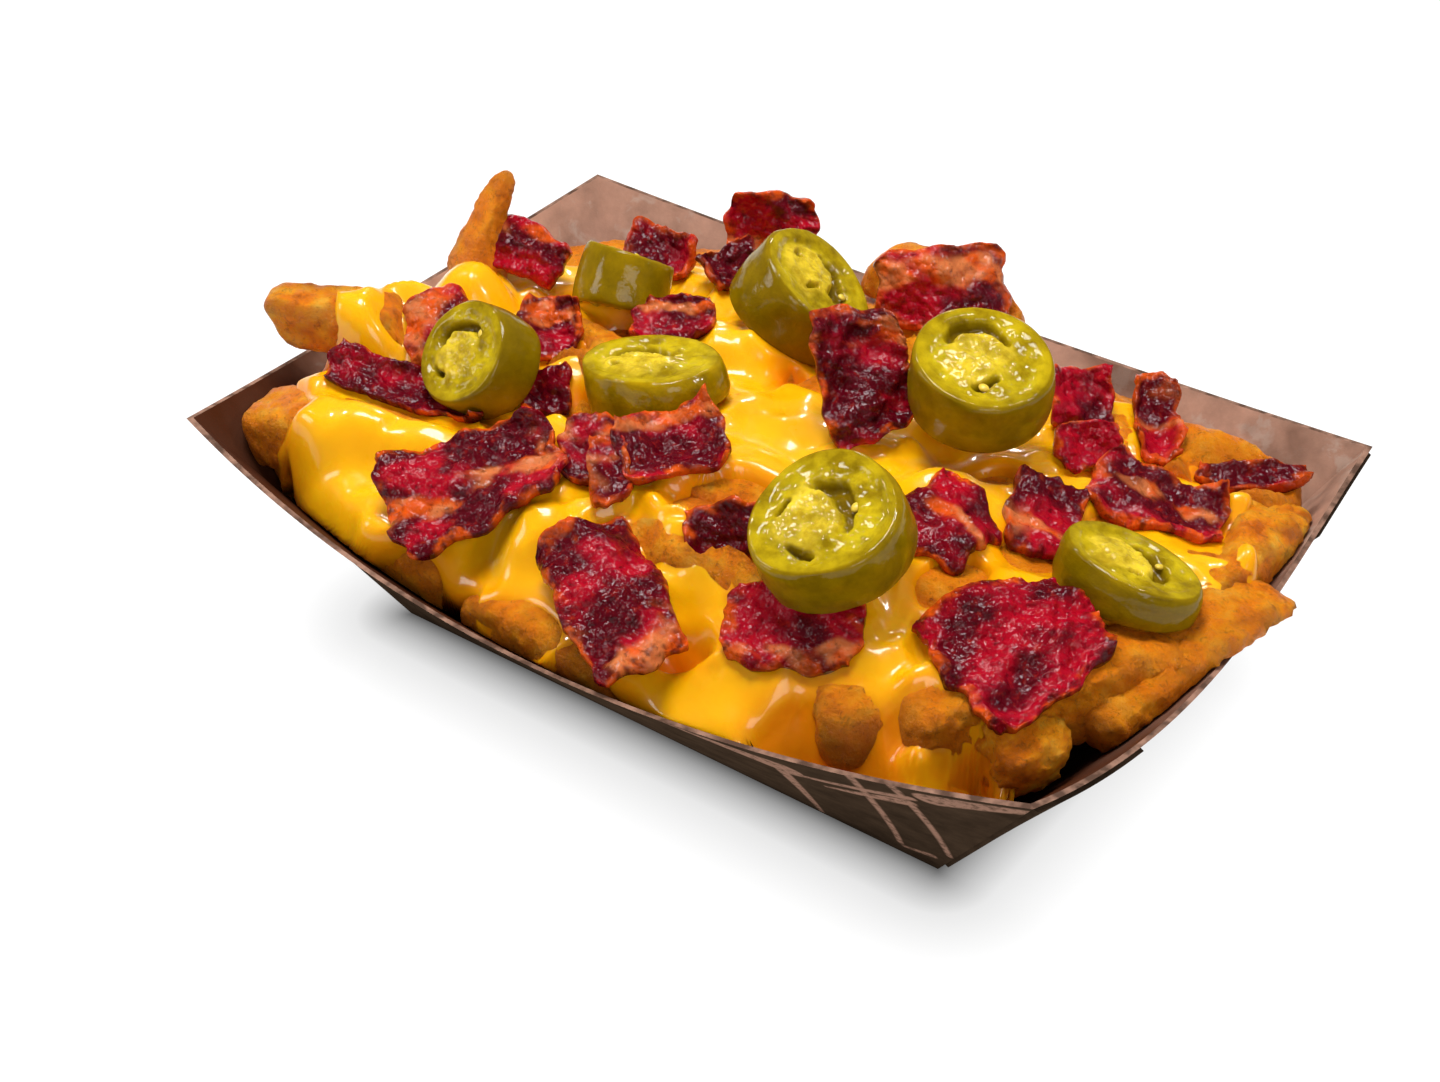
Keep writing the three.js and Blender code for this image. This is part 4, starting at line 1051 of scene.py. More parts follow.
def build_cheese(settings):
    """The poured sauce: one soft blanket with a rounded, dripping edge."""
    rings = 1 - (1 - np.linspace(SAUCE_HOLE, 1, SAUCE_RINGS)) ** SAUCE_CROWD
    share, turn = np.meshgrid(rings, turns_round(SAUCE_TURNS), indexing="ij")
    lobes = np.ones_like(turn)
    for depth, count, shift in SAUCE_LOBES:
        lobes = lobes + depth * np.sin(count * turn + shift)
    reach = sauce_reach(turn) * lobes
    x = (SAUCE_CENTRE[0] + share * reach * np.cos(turn)).ravel()
    y = (SAUCE_CENTRE[1] + share * reach * np.sin(turn)).ravel()
    inside = sauce_cover(x, y, share.ravel(), reach.ravel())
    top, inside, raised = sauce_top(settings, x, y, inside)
    points, faces = close_sauce(top)
    rest = len(points) - len(top)
    thin = 1 - np.clip(inside / (THIN_BEADS * settings.bead / MM), 0, 1)
    body = Body()
    # The ridge value carries painted light on the sauce's ridges and painted shade in its hollows
    body.add(points, faces, thin=np.concatenate([thin, np.ones(rest)]),
             ridge=np.concatenate([smooth_step(*RIDGE_RANGE, raised), np.zeros(rest)]))
    cheese = body.build("cheese", [melted_cheese(settings)])
    settle(cheese, "cheese_sauce", "cheese_sauce")


def sauce_top(settings, x, y, inside):
    """The sauce's upper points, how far inside its edge they lie and how proud they stand."""
    bead, thick = settings.bead / MM, settings.thickness / MM
    smooth, sharp, broad, spread = (read_map(height, x, y) for height in heap_map())
    most = mound_top(x, y) + SAUCE_OVER
    draped = 0.0 * x
    for px, py, wide, rise in SAUCE_RISES:
        far, near = (share * wide for share in DRAPE_EASE)
        here = smooth_step(far, near, np.hypot(x - px, y - py))
        most = most + rise * here
        draped = np.maximum(draped, here)
    crevice = (smooth - sharp) * (1 - draped)
    inside = np.minimum(inside, (SAUCE_SPAN - crevice) * CREVICE_SLOPE)
    base = np.minimum(mix(smooth, spread, draped), most)
    hump_x, hump_y, wide, high, fall = SAUCE_HUMP
    base = np.maximum(base, high - fall * (np.hypot(x - hump_x, y - hump_y) / wide) ** 2)
    near = np.clip(inside / bead, 0, 1)
    swell = np.where(inside > 0, np.sqrt(1 - (1 - near) ** 2), inside / bead * SAUCE_TUCK)
    swell = np.maximum(swell, SAUCE_DEEPEST)
    spots = np.stack([x, y, 0 * x], axis=-1)
    ripple = RIPPLE[0] * grain(spots, RIPPLE[1], 21, 2)
    ripple = ripple + FINE_RIPPLE[0] * grain(spots, FINE_RIPPLE[1], 22, 1)
    z = base - SAUCE_SINK + (thick + SAUCE_SINK) * swell + ripple * np.clip(swell, 0, 1)
    top = press_under_toppings(
        np.stack([x, y, z], axis=-1), TOPPING_SINK, TOPPING_EASE, TOPPING_LIFT)
    top = wall_room(top, SAUCE_ROOM, OVER_RIM)
    return top, inside, top[:, 2] - broad


def close_sauce(top):
    """The points and faces of the sauce, closed by a drop at its edge and an underside."""
    centre_x, centre_y = SAUCE_CENTRE
    skirt = top[-SAUCE_TURNS:].copy()
    skirt[:, 2] = np.maximum(skirt[:, 2] - SKIRT_DROP, SKIRT_LOWEST)
    skirt = wall_room(skirt, SKIRT_ROOM)
    lower = []
    for step in UNDER_RINGS:
        x, y = mix(centre_x, skirt[:, 0], step), mix(centre_y, skirt[:, 1], step)
        lower.append(np.stack([x, y, core_top(x, y)], axis=-1))
    hub = (centre_x, centre_y, top[:SAUCE_TURNS, 2].mean())
    foot = (centre_x, centre_y, core_top(centre_x, centre_y))
    points = np.concatenate([top, skirt, *lower, [hub, foot]])
    around = np.arange(SAUCE_TURNS)
    last_ring = len(points) - 2 - SAUCE_TURNS
    faces = [
        grid_faces(SAUCE_RINGS + 1 + len(UNDER_RINGS), SAUCE_TURNS, True),
        fan_faces(len(points) - 2, around, True),
        fan_faces(len(points) - 1, last_ring + around),
    ]
    return points, [f[:, ::-1] for f in faces]


def melted_cheese(settings):
    """Glossy golden sauce: painted light makes it yellow on its ridges and painted shade deep
    orange in its hollows, and it is deep orange where it runs thin.
    """
    finish = Finish("melted cheese")
    pale, deep = tuple(settings.pale), tuple(settings.deep)
    swirls = finish.calc("MULTIPLY", finish.calc("SUBTRACT", finish.noise(11, 3), 0.5), 1.3)
    # Painted light and shade: yellow where the sauce stands proud of its broad form, deep orange in
    # its hollows and darker still in the deepest, with random swirls
    drift = finish.calc("ADD", finish.value("ridge"), swirls)
    tone = finish.ramp(drift, (0.05, toned(deep, 0.8)), (0.35, deep), (0.66, pale))
    thin = finish.ramp(finish.value("thin"), (0.45, 0.0), (1.0, 1.0))
    tone = finish.blend(thin, tone, deep, 0.6)
    finish.shade(
        Base_Color=tone, Roughness=finish.ramp(finish.noise(9, 3), (0.35, 0.22), (0.65, 0.34)),
        Normal=finish.bump(finish.noise(2.6, 3, 0.5), 0.15, 0.4))
    finish.shade(
        Subsurface_Weight=0.3, Subsurface_Scale=0.003, Subsurface_Radius=(1.0, 0.4, 0.03),
        Specular_IOR_Level=0.15, Coat_Weight=0.6, Coat_Roughness=0.07)
    return finish.material


# Bacon chips

# The distance between a chip's points, and the share of its thickness left at its edge
CHIP_STEP, CHIP_EDGE = 0.45, 0.5
# The seed of the first chip's noise, and the step to the next chip's
CHIP_SEED, CHIP_SEED_STEP = 100, 7
# How far a chip's corners are drawn in, its outline is ragged and its sides are torn
CORNER_LOSS, RAGGED, TEAR, TEAR_SIZE = 0.12, 0.035, 1.0, 6
# Blisters and pits on its top: height and size, and the beads that run round its edge
BLISTER, PIT, PIT_SHIFT = (0.6, 3.0), (0.9, 2.1), 0.3
BEAD_FROM, BEAD_RISE, BEAD_FALL, BEAD_SIZE = (0.78, 0.93), 0.45, 1.1, 1.9
# How far its crisp border, its fat and its dark crust cover the meat
BORDER_COVER, FAT_COVER, CRUST_COVER, CRUST = 0.85, 0.85, 0.7, (0.05, 0.004, 0.003)
# Painted shade: its underside's brightness beside its top's
UNDER_SHADE = 0.85


def chip_turn(turn):
    """Axes of a chip: its compass turn, then its pitch, then its roll."""
    compass, pitch, roll = (math.radians(value) for value in turn)
    turned = Matrix.Rotation(compass, 3, "Z") @ Matrix.Rotation(-pitch, 3, "Y")
    return np.array(turned @ Matrix.Rotation(roll, 3, "X"))


def chip_spots(number, u, v):
    """A chip's places as if it lay flat, how near its edge each is, and its seed."""
    length, width = CHIPS[number][1]
    flat = np.stack([u * length / 2, v * width / 2, 0 * u], axis=-1)
    edge = np.maximum(np.abs(u), np.abs(v))
    return flat, edge, CHIP_SEED + CHIP_SEED_STEP * number


def chip_bend(number, u, v):
    """Height of a chip's middle surface over its plane: curl, wave, folds and a rolling edge."""
    curl, wave = CHIPS[number][3:5]
    flat, edge, seed = chip_spots(number, u, v)
    bend = curl * (u * u - 0.4) + 0.5 * curl * (v * v - 0.4)
    bend = bend + 0.8 * wave * np.sin(2.6 * u + 1.7 * v + number)
    bend = bend + 1.8 * grain(flat, 8.5, seed + 2, 2)
    return bend + 2.0 * smooth_step(0.55, 1, edge) * lumps(flat, 6, seed + 3)


def torn(side, half, place, seed):
    """How far a chip's side is torn in or out, most at its very edge."""
    return 1 + (TEAR * grain(side, TEAR_SIZE, seed) / half) * np.abs(place) ** 3


def build_chip(settings, chip, number):
    """One chip: a bent, blistered sheet with a torn, beaded outline."""
    centre, (length, width), turn, _, _, narrow, look = chip
    rows, columns = int(length / CHIP_STEP) + 2, int(width / CHIP_STEP) + 2
    u, v = np.meshgrid(np.linspace(-1, 1, rows), np.linspace(-1, 1, columns), indexing="ij")
    u, v = u.ravel(), v.ravel()
    flat, edge, seed = chip_spots(number, u, v)
    corner = 1 - CORNER_LOSS * u * u * v * v
    ragged = 1 + RAGGED * np.sin(7 * v + 2 * number) + RAGGED * np.sin(8 * u + number)
    across = mix(1.0, narrow, (u + 1) / 2)
    side_u = np.stack([3.1 + 0 * v, flat[:, 1], np.sign(u)], axis=-1)
    side_v = np.stack([flat[:, 0], 5.2 + 0 * u, np.sign(v)], axis=-1)
    x = u * length / 2 * corner * ragged * torn(side_u, length / 2, u, seed)
    y = v * width / 2 * across * corner * ragged * torn(side_v, width / 2, v, seed + 1)
    bend = chip_bend(number, u, v)
    thick = BACON_THICKNESS * mix(1.0, CHIP_EDGE, smooth_step(0.86, 1.0, edge))
    thick = thick * (1 + 0.3 * lumps(flat, 5, seed + 4))
    pits = PIT[0] * (PIT_SHIFT - np.abs(lumps(flat, PIT[1], seed + 6)))
    blisters = BLISTER[0] * grain(flat, BLISTER[1], seed + 5, 2, 0.55) + pits
    beads = BEAD_RISE - BEAD_FALL * np.abs(lumps(flat, BEAD_SIZE, seed + 7))
    beads = smooth_step(*BEAD_FROM, edge) * beads
    upper = np.stack([x, y, bend + thick / 2 + blisters + beads], axis=-1)
    lower = np.stack([x, y, bend - thick / 2 + 0.4 * blisters], axis=-1)
    points, faces = close_sheet(np.concatenate([upper, lower]), rows, columns, False)
    points = points @ chip_turn(turn).T + np.array(centre, float)
    points = wall_room(points, CHIP_ROOM)
    tint = chip_colours(settings, flat, v, edge, look, seed)
    # The underside is a darker copy of the top, as painted shade
    tint = np.concatenate([tint, tint * UNDER_SHADE])
    body = Body()
    body.add(points, [f[:, ::-1] for f in faces], tint=tint)
    piece = body.build(f"bacon_{number + 1:02d}_chip", [shared(glazed_bacon)])
    settle(piece, "bacon", f"bacon_{number + 1:02d}")


def chip_colours(settings, flat, v, edge, look, seed):
    """Colour of each point of a chip: lean meat, crisp edge and a lobe of fat."""
    lean, orange, streak, streak_width = look
    dark, bright = np.array(settings.burgundy), np.array(settings.crimson)
    ember, fat = np.array(settings.ember), np.array(settings.fat)
    patch = smooth_step(-0.25, 0.3, grain(flat, 11, seed + 8) + 0.9 * (lean - 0.5))
    tone = mix(dark, bright, patch[:, None])
    border = smooth_step(1.06 - 0.42 * orange, 1.12, edge + 0.3 * grain(flat, 3.5, seed + 10))
    tone = mix(tone, ember, (BORDER_COVER * border)[:, None])
    away = np.abs(v - streak + 0.45 * grain(flat, 9, seed + 11, 2))
    away = away + 0.12 * grain(flat, 3, seed + 12, 2)
    lobe = smooth_step(-0.25, 0.15, grain(flat, 9, seed + 15, 2))
    share = 1 - smooth_step(0.5 * streak_width, streak_width + 0.04, away)
    share = share * lobe * (streak_width > 0)
    pale = mix(fat, ember, smooth_step(-0.2, 0.3, grain(flat, 5, seed + 13))[:, None])
    tone = mix(tone, pale, (FAT_COVER * share)[:, None])
    crust = smooth_step(0.25, 0.5, grain(flat, 2.4, seed + 14)) * smooth_step(0.6, 0.95, edge)
    return mix(tone, np.array(CRUST), (CRUST_COVER * crust)[:, None])


def glazed_bacon():
    """Sticky glazed meat with painted glints."""
    finish = Finish("glazed bacon")
    fine = finish.noise(1.5, 4, 0.65)
    # Painted glints: a paler red on the peaks of a fine noise stands for small highlights
    pale = finish.ramp(fine, (0.55, 0.0), (0.78, 0.35))
    dark = finish.ramp(fine, (0.25, 0.8), (0.45, 0.0))
    tone = finish.blend(pale, finish.value("tint", "Color"), (0.6, 0.03, 0.008))
    tone = finish.blend(dark, tone, (0.012, 0.0, 0.001))
    folds = finish.bump(finish.noise(3.5, 3, 0.6), 1.0, 0.7)
    glaze = finish.bump(finish.bubbles(1.7), 0.55, 0.9, folds)
    beads = finish.bump(finish.noise(0.8, 2, 0.5), 0.3, 0.7, glaze)
    finish.shade(Base_Color=tone, Roughness=0.5, Normal=glaze, Coat_Normal=beads)
    finish.shade(Subsurface_Weight=0.05, Subsurface_Scale=0.001, Specular_IOR_Level=0.0,
                 Coat_Weight=0.6, Coat_IOR=1.4, Coat_Roughness=0.05)
    return finish.material


# Jalapeno slices

# Points from the middle of a cut face to its skin, round it and down the skin
FACE_RINGS = (*np.linspace(0.0, 0.9, 34), 0.93, 0.955, 0.975, 0.99, 1.0)
SLICE_TURNS, SKIN_LEVELS = 128, 15
# The seed of the first slice's noise, and the step to the next slice's
SLICE_SEED, SLICE_SEED_STEP = 300, 10
# How far its sides are ribbed, its face's share of its reach and how far its skin stands back
SLICE_RIB, FACE_SHARE, SKIN_BACK = 0.035, 0.965, 0.55
# The largest seed chamber: half its turn, how far out it lies and how wide it is
LARGE_CHAMBER = (1.15, 0.5, 0.12)
CHAMBER_DEPTH, PULP_RISE, FLESH_SINK, EDGE_FALL = 1.9, 0.5, 0.45, 0.3
# A seed: its depth in the face, its width to its length, its half thickness and its points
SEED_DEPTH, SEED_OVAL, SEED_HALF, SEED_POLE = 0.95, 0.8, 0.45, 0.15
SEED_ROWS, SEED_TURNS = 7, 12


def slice_look(look):
    """The way a slice's cut face looks."""
    compass, tilt = (math.radians(value) for value in look)
    return np.array([
        math.sin(tilt) * math.cos(compass), math.sin(tilt) * math.sin(compass), math.cos(tilt)])


def slice_turn(look):
    """Axes of a slice, turned from upright onto its look the short way."""
    turn = Vector((0, 0, 1)).rotation_difference(Vector(slice_look(look)))
    return np.array(turn.to_matrix())


def slice_face(radius, chambers, seed):
    """A cut face over its rings and angles: its depth, its dark slots and its pale pulp."""
    r, a = np.meshgrid(FACE_RINGS[1:], turns_round(SLICE_TURNS), indexing="ij")
    x, y = r * np.cos(a), r * np.sin(a)
    spot = np.stack([x, y, 0 * r], axis=-1).reshape(-1, 3) * radius
    wobble = lumps(spot, 5, seed).reshape(r.shape)
    fine = grain(spot, 2.6, seed + 3, 3, 0.6).reshape(r.shape)
    draws = seeded_draws(seed)
    middle_x, middle_y = mix(-0.12, 0.12, next(draws)), mix(-0.12, 0.12, next(draws))
    off = np.hypot(x - middle_x, y - middle_y)
    about = np.arctan2(y - middle_y, x - middle_x)
    hollow = 0.0 * r
    for chamber in range(chambers):
        toward = (chamber + mix(0.25, 0.75, next(draws))) * 2 * math.pi / chambers
        half_turn, near = mix(0.2, 0.4, next(draws)), mix(0.3, 0.6, next(draws))
        wide = mix(0.05, 0.08, next(draws))
        if chamber == 0:
            half_turn, near, wide = LARGE_CHAMBER
        turned = np.abs((about - toward + math.pi) % (2 * math.pi) - math.pi) / half_turn
        across = (off - near + 0.14 * wobble) / wide
        deep = smooth_step(1.3, 0.5, np.hypot(turned ** 2, across) + 0.2 * fine)
        hollow = np.maximum(hollow, deep)
    within_wall = smooth_step(0.86, 0.74, r + 0.05 * wobble)
    hollow = hollow * within_wall
    pulp = smooth_step(0.62, 0.36, off + 0.22 * wobble + 0.06 * fine) * (1 - hollow)
    depth = within_wall * (0.6 * wobble + 0.4 * fine - FLESH_SINK) + PULP_RISE * pulp + 0.07 * fine
    depth = depth - CHAMBER_DEPTH * hollow - EDGE_FALL * smooth_step(0.97, 1.0, r)
    return r, a, depth, hollow, pulp


def slice_skin(one, seed):
    """The rings of points down a slice's skin."""
    _, _, radius, thick, slant, oval, chambers, _ = one
    angle = turns_round(SLICE_TURNS)
    ribs = 1 + SLICE_RIB * np.cos(chambers * angle) + 0.012 * np.sin(5 * angle + seed)
    side = []
    for level in np.linspace(1, -1, SKIN_LEVELS):
        ring = np.stack([np.cos(angle), np.sin(angle), 0 * angle + level], axis=-1) * radius
        ridge = ribs + 0.02 * lumps(ring, 9, seed + 5)
        wide = radius * ridge * (1.02 - 0.04 * abs(level) ** 3)
        x, y = wide * np.cos(angle), wide * np.sin(angle) * oval
        z = level * (thick / 2 - SKIN_BACK) * (1 - slant * x / radius)
        side.append(np.stack([x, y, z], axis=-1))
    return np.concatenate(side)


def build_slice(settings, one, number):
    """One pickled slice: skin, flesh, seed chambers and seeds."""
    centre, look, radius, thick, slant, oval, chambers, green = one
    seed = SLICE_SEED + SLICE_SEED_STEP * number
    r, a, depth, hollow, pulp = slice_face(radius, chambers, seed)
    rib = 1 + SLICE_RIB * np.cos(chambers * a)
    x = r * radius * rib * np.cos(a) * FACE_SHARE
    y = r * radius * rib * np.sin(a) * oval * FACE_SHARE
    height = (thick / 2 + depth) * (1 - slant * x / radius)
    top = np.stack([x, y, height], axis=-1).reshape(-1, 3)
    under = np.stack([x, y, -height], axis=-1)[::-1].reshape(-1, 3)
    side = slice_skin(one, seed)
    points = np.concatenate([[(0, 0, thick / 2)], top, side, under, [(0, 0, -thick / 2)]])
    rows = 2 * len(r) + SKIN_LEVELS
    around = np.arange(SLICE_TURNS)
    faces = [
        fan_faces(0, 1 + around),
        grid_faces(rows, SLICE_TURNS, True, 1)[:, ::-1],
        fan_faces(len(points) - 1, 1 + (rows - 1) * SLICE_TURNS + around, True),
    ]
    radial = np.concatenate([[0], r.ravel(), np.full(len(side), 1.05), r[::-1].ravel(), [0]])
    face = pulp - hollow
    face = np.concatenate([[1], face.ravel(), np.zeros(len(side)), face[::-1].ravel(), [1]])
    turn, place = slice_turn(look), np.array(centre, float)
    body = Body()
    body.add(points @ turn.T + place, faces, radial=radial, pulp=0.5 + 0.5 * face, green=green)
    for points, faces in slice_seeds(one, seed):
        body.add(points @ turn.T + place, faces, finish=1, radial=0.4, pulp=1.0, green=green)
    finishes = [shared(pickled_pepper, settings), shared(pepper_seed)]
    piece = body.build(f"jalapeno_{number + 1}_slice", finishes)
    settle(piece, "jalapeno", f"jalapeno_{number + 1}")


def slice_seeds(one, seed):
    """The points and faces of each seed in both faces of a slice."""
    _, _, radius, thick, slant, oval, chambers, _ = one
    draws = seeded_draws(seed)
    for chamber in range(chambers):
        for sign in (1, -1):
            angle = (chamber + mix(0.3, 0.7, next(draws))) * 2 * math.pi / chambers
            away = radius * mix(0.4, 0.55, next(draws))
            spot = np.array([away * math.cos(angle), away * math.sin(angle) * oval, 0])
            spot[2] = sign * (thick / 2 - SEED_DEPTH) * (1 - slant * spot[0] / radius)
            points, faces = seed_lens(angle + 2.2 * next(draws), 0.85 + 0.3 * next(draws))
            yield points + spot, faces


def seed_lens(angle, size):
    """A flat round pepper seed."""
    tilt = np.linspace(SEED_POLE, math.pi - SEED_POLE, SEED_ROWS)
    tilt, a = np.meshgrid(tilt, turns_round(SEED_TURNS), indexing="ij")
    x = size * np.sin(tilt) * np.cos(a)
    y = SEED_OVAL * size * np.sin(tilt) * np.sin(a)
    z = SEED_HALF * np.cos(tilt)
    c, s = math.cos(angle), math.sin(angle)
    points = np.stack([x * c - y * s, x * s + y * c, z], axis=-1).reshape(-1, 3)
    last = len(points)
    around = np.arange(SEED_TURNS)
    faces = [
        grid_faces(SEED_ROWS, SEED_TURNS, True)[:, ::-1],
        fan_faces(last, around),
        fan_faces(last + 1, last - SEED_TURNS + around, True),
    ]
    return np.concatenate([points, [(0, 0, SEED_HALF), (0, 0, -SEED_HALF)]]), faces


def pickled_pepper(settings):
    """Glossy olive skin round paler, wet, translucent flesh."""
    finish = Finish("pickled jalapeno")
    radial = finish.value("radial")
    drift = finish.noise(5, 4, 0.6)
    mottle = finish.noise(2.4, 4, 0.65)
    skin, flesh = tuple(settings.skin), tuple(settings.flesh)
    flesh = finish.ramp(drift, (0.34, toned(flesh, 0.6)), (0.6, flesh))
    flesh = finish.blend(finish.ramp(mottle, (0.48, 0.0), (0.64, 0.6)), flesh, (0.3, 0.18, 0.002))
    glassy = finish.ramp(drift, (0.35, (0.22, 0.14, 0.001)), (0.62, (0.5, 0.36, 0.006)))
    inner = finish.ramp(finish.value("pulp"), (0.5, 0.0), (0.85, 1.0))
    flesh = finish.blend(inner, glassy, flesh)
    skin = finish.ramp(drift, (0.35, toned(skin, 0.6)), (0.65, skin))
    skin = finish.blend(finish.value("green"), skin, (0.13, 0.08, 0.001), 0.75)
    wall = finish.ramp(radial, (0.72, 0.0), (0.88, 0.2), (0.96, 0.45), (0.99, 1.0))
    tone = finish.blend(wall, flesh, skin)
    # Painted shade: the seed chambers, sunk into the face, are darkened to a deep olive
    slots = finish.ramp(finish.value("pulp"), (0.12, 0.85), (0.42, 0.0))
    tone = finish.blend(slots, tone, (0.12, 0.065, 0.001))
    wet = finish.bump(mottle, 0.4, 0.6)
    finish.shade(Base_Color=tone, Roughness=0.4, Normal=wet,
                 Coat_Normal=finish.bump(finish.noise(3.4, 4), 0.4, 0.6))
    finish.shade(Subsurface_Weight=0.25, Subsurface_Scale=0.002, Subsurface_Radius=(0.9, 0.8, 0.05),
                 Specular_IOR_Level=0.0, Coat_Weight=0.65, Coat_IOR=1.4, Coat_Roughness=0.06)
    return finish.material


def pepper_seed():
    """Pale seeds."""
    finish = Finish("jalapeno seed")
    tone = finish.ramp(finish.noise(1.5, 3), (0.35, (0.55, 0.36, 0.02)), (0.65, (0.85, 0.6, 0.06)))
    finish.shade(Base_Color=tone, Roughness=0.3)
    return finish.material


# Stage

SENSOR_WIDTH, NEAREST_SEEN = 36, 0.01
# The floor's half size, how far it lies under the tray, and its own colour
FLOOR_HALF, FLOOR_DROP, FLOOR_GREY = 4.0, 0.0002, (0.12, 0.12, 0.12)
# How brightly the floor glows at shares of the way from the tray to the end of its painted shadow
FLOOR_GLOW = ((0.0, 0.1), (0.12, 0.32), (0.25, 0.52), (0.45, 0.78), (1.0, 1.0))
# Soft square lights: name, place, size and the setting that is their power
LIGHTS = [
    ("key", (-0.1, 0.0, 0.85), 0.3, "key_power"),
    ("fill", (0.6, -0.6, 0.5), 0.4, "fill_power"),
    ("side", (-0.65, -0.55, 0.4), 0.3, "side_power"),
    ("glint_back", (-0.4, 0.6, 0.5), 0.07, "glint_power"),
    ("glint_left", (-0.55, -0.05, 0.6), 0.06, "glint_power"),
    ("glint_top", (0.15, 0.2, 0.75), 0.06, "glint_power"),
    ("glint_right", (0.5, 0.15, 0.55), 0.05, "glint_power"),
]
LIGHT_TARGET = Vector((0, 0, 0.04))


def set_camera():
    """The photograph's camera."""
    data = bpy.data.cameras.new("camera")
    data.lens = CAMERA_LENS
    data.sensor_width = SENSOR_WIDTH
    data.clip_start = NEAREST_SEEN
    camera = put_in_scene("camera", data)
    compass, rise = math.radians(CAMERA_COMPASS), math.radians(CAMERA_RISE)
    away = Vector((
        math.sin(compass) * math.cos(rise), -math.cos(compass) * math.cos(rise), math.sin(rise)))
    camera.location = Vector(CAMERA_TARGET) + away * CAMERA_DISTANCE
    camera.rotation_euler = (math.pi / 2 - rise, 0, compass)
    bpy.context.scene.camera = camera


def lay_floor():
    """The pale floor."""
    mesh = bpy.data.meshes.new("floor")
    low, high = -FLOOR_HALF, FLOOR_HALF
    corners = [(low, low, 0), (high, low, 0), (high, high, 0), (low, high, 0)]
    mesh.from_pydata(corners, [], [(0, 1, 2, 3)])
    mesh.materials.append(pale_floor())
    floor = put_in_scene("floor", mesh)
    floor.location = (0, 0, -FLOOR_DROP)


def pale_floor():
    """White that glows, dimmed round the tray's base by a painted shadow."""
    finish = Finish("pale floor")
    steps = []
    for name, size in (("X", BASE_LENGTH), ("Y", BASE_WIDTH)):
        step = finish.calc("SUBTRACT", finish.calc("ABSOLUTE", finish.axis(name)), size / 2)
        steps.append(finish.calc("MAXIMUM", step, 0.0))
    away = finish.calc("DIVIDE", finish.distance(*steps), SHADE_REACH)
    finish.shade(Base_Color=FLOOR_GREY, Roughness=0.9, Specular_IOR_Level=0.0,
                 Emission_Color=(1, 1, 1), Emission_Strength=finish.ramp(away, *FLOOR_GLOW))
    return finish.material


def build_stage(settings):
    """Camera, pale floor and soft studio light."""
    set_camera()
    lay_floor()
    scene = bpy.context.scene
    world = bpy.data.worlds.new("studio")
    world.use_nodes = True
    background = world.node_tree.nodes["Background"]
    background.inputs["Color"].default_value = (1, 1, 1, 1)
    background.inputs["Strength"].default_value = settings.room_light
    scene.world = world
    for name, place, size, power in LIGHTS:
        data = bpy.data.lights.new(name, "AREA")
        data.size = size
        data.energy = getattr(settings, power)
        light = put_in_scene(name, data)
        light.location = place
        look = LIGHT_TARGET - light.location
        light.rotation_euler = look.to_track_quat("-Z", "Y").to_euler()
    scene.view_settings.view_transform = "Standard"


def colour_setting(name, description, default):
    """A colour setting."""
    return FloatVectorProperty(
        name=name, description=description, default=default, subtype="COLOR", min=0, max=1)


def length_setting(name, description, default):
    """A length setting, in metres."""
    return FloatProperty(name=name, description=description, default=default, unit="LENGTH")


def power_setting(name, description, default):
    """The power of a light."""
    return FloatProperty(name=name, description=description, default=default, unit="POWER")


class TraySettings(bpy.types.PropertyGroup):
    """Board and print of the tray."""

    board: length_setting("Board", "Thickness of the paper board", 0.0009)
    kraft: colour_setting("Kraft", "Colour of the bare board", (0.36, 0.2, 0.14))
    ink: colour_setting("Ink", "Colour of the printed outside", (0.042, 0.026, 0.016))


class FriesSettings(bpy.types.PropertyGroup):
    """Batter of the fries."""

    gold: colour_setting("Gold", "Main colour of the batter", (0.93, 0.235, 0.005))
    # Brown also gives the painted shade on fries low in the tray
    brown: colour_setting("Brown", "Colour of the crisp ends", (0.3, 0.065, 0.005))


class CheeseSettings(bpy.types.PropertyGroup):
    """Melted cheese sauce."""

    thickness: length_setting("Thickness", "Depth of the sauce over the fries", 0.0024)
    bead: length_setting("Bead", "Width of the rounded edge", 0.0032)
    # Pale also gives the painted light on the sauce's ridges, and deep the painted shade in its
    # hollows
    pale: colour_setting("Pale", "Colour of the thick sauce", (0.9, 0.425, 0.002))
    deep: colour_setting("Deep", "Colour of the thin sauce", (0.86, 0.25, 0.001))


class BaconSettings(bpy.types.PropertyGroup):
    """Glazed bacon chips."""

    burgundy: colour_setting("Burgundy", "Dark lean meat", (0.08, 0.001, 0.005))
    crimson: colour_setting("Crimson", "Bright lean meat", (0.34, 0.002, 0.012))
    ember: colour_setting("Ember", "Crisp edges", (0.66, 0.085, 0.004))
    fat: colour_setting("Fat", "Streaks of fat", (0.6, 0.17, 0.05))


class JalapenoSettings(bpy.types.PropertyGroup):
    """Pickled slices."""

    skin: colour_setting("Skin", "Colour of the skin", (0.36, 0.22, 0.001))
    flesh: colour_setting("Flesh", "Colour of the cut flesh", (0.68, 0.48, 0.025))


class StageSettings(bpy.types.PropertyGroup):
    """Light of the studio."""

    room_light: FloatProperty(
        name="Room light", description="Strength of the light from all round", default=0.14)
    key_power: power_setting("Key", "Power of the main light", 6.6)
    fill_power: power_setting("Fill", "Power of the front light", 2.1)
    side_power: power_setting("Side", "Power of the light from the left", 1.6)
    glint_power: power_setting("Glints", "Power of the small lights that gloss shows", 0.8)


class CHEESEFRIES_OT_tray(bpy.types.Operator):
    """Makes the folded paper tray"""

    bl_idname = "cheesefries.tray"
    bl_label = "Paper tray"

    def execute(self, context):
        build_tray(context.scene.fries_tray)
        return {"FINISHED"}


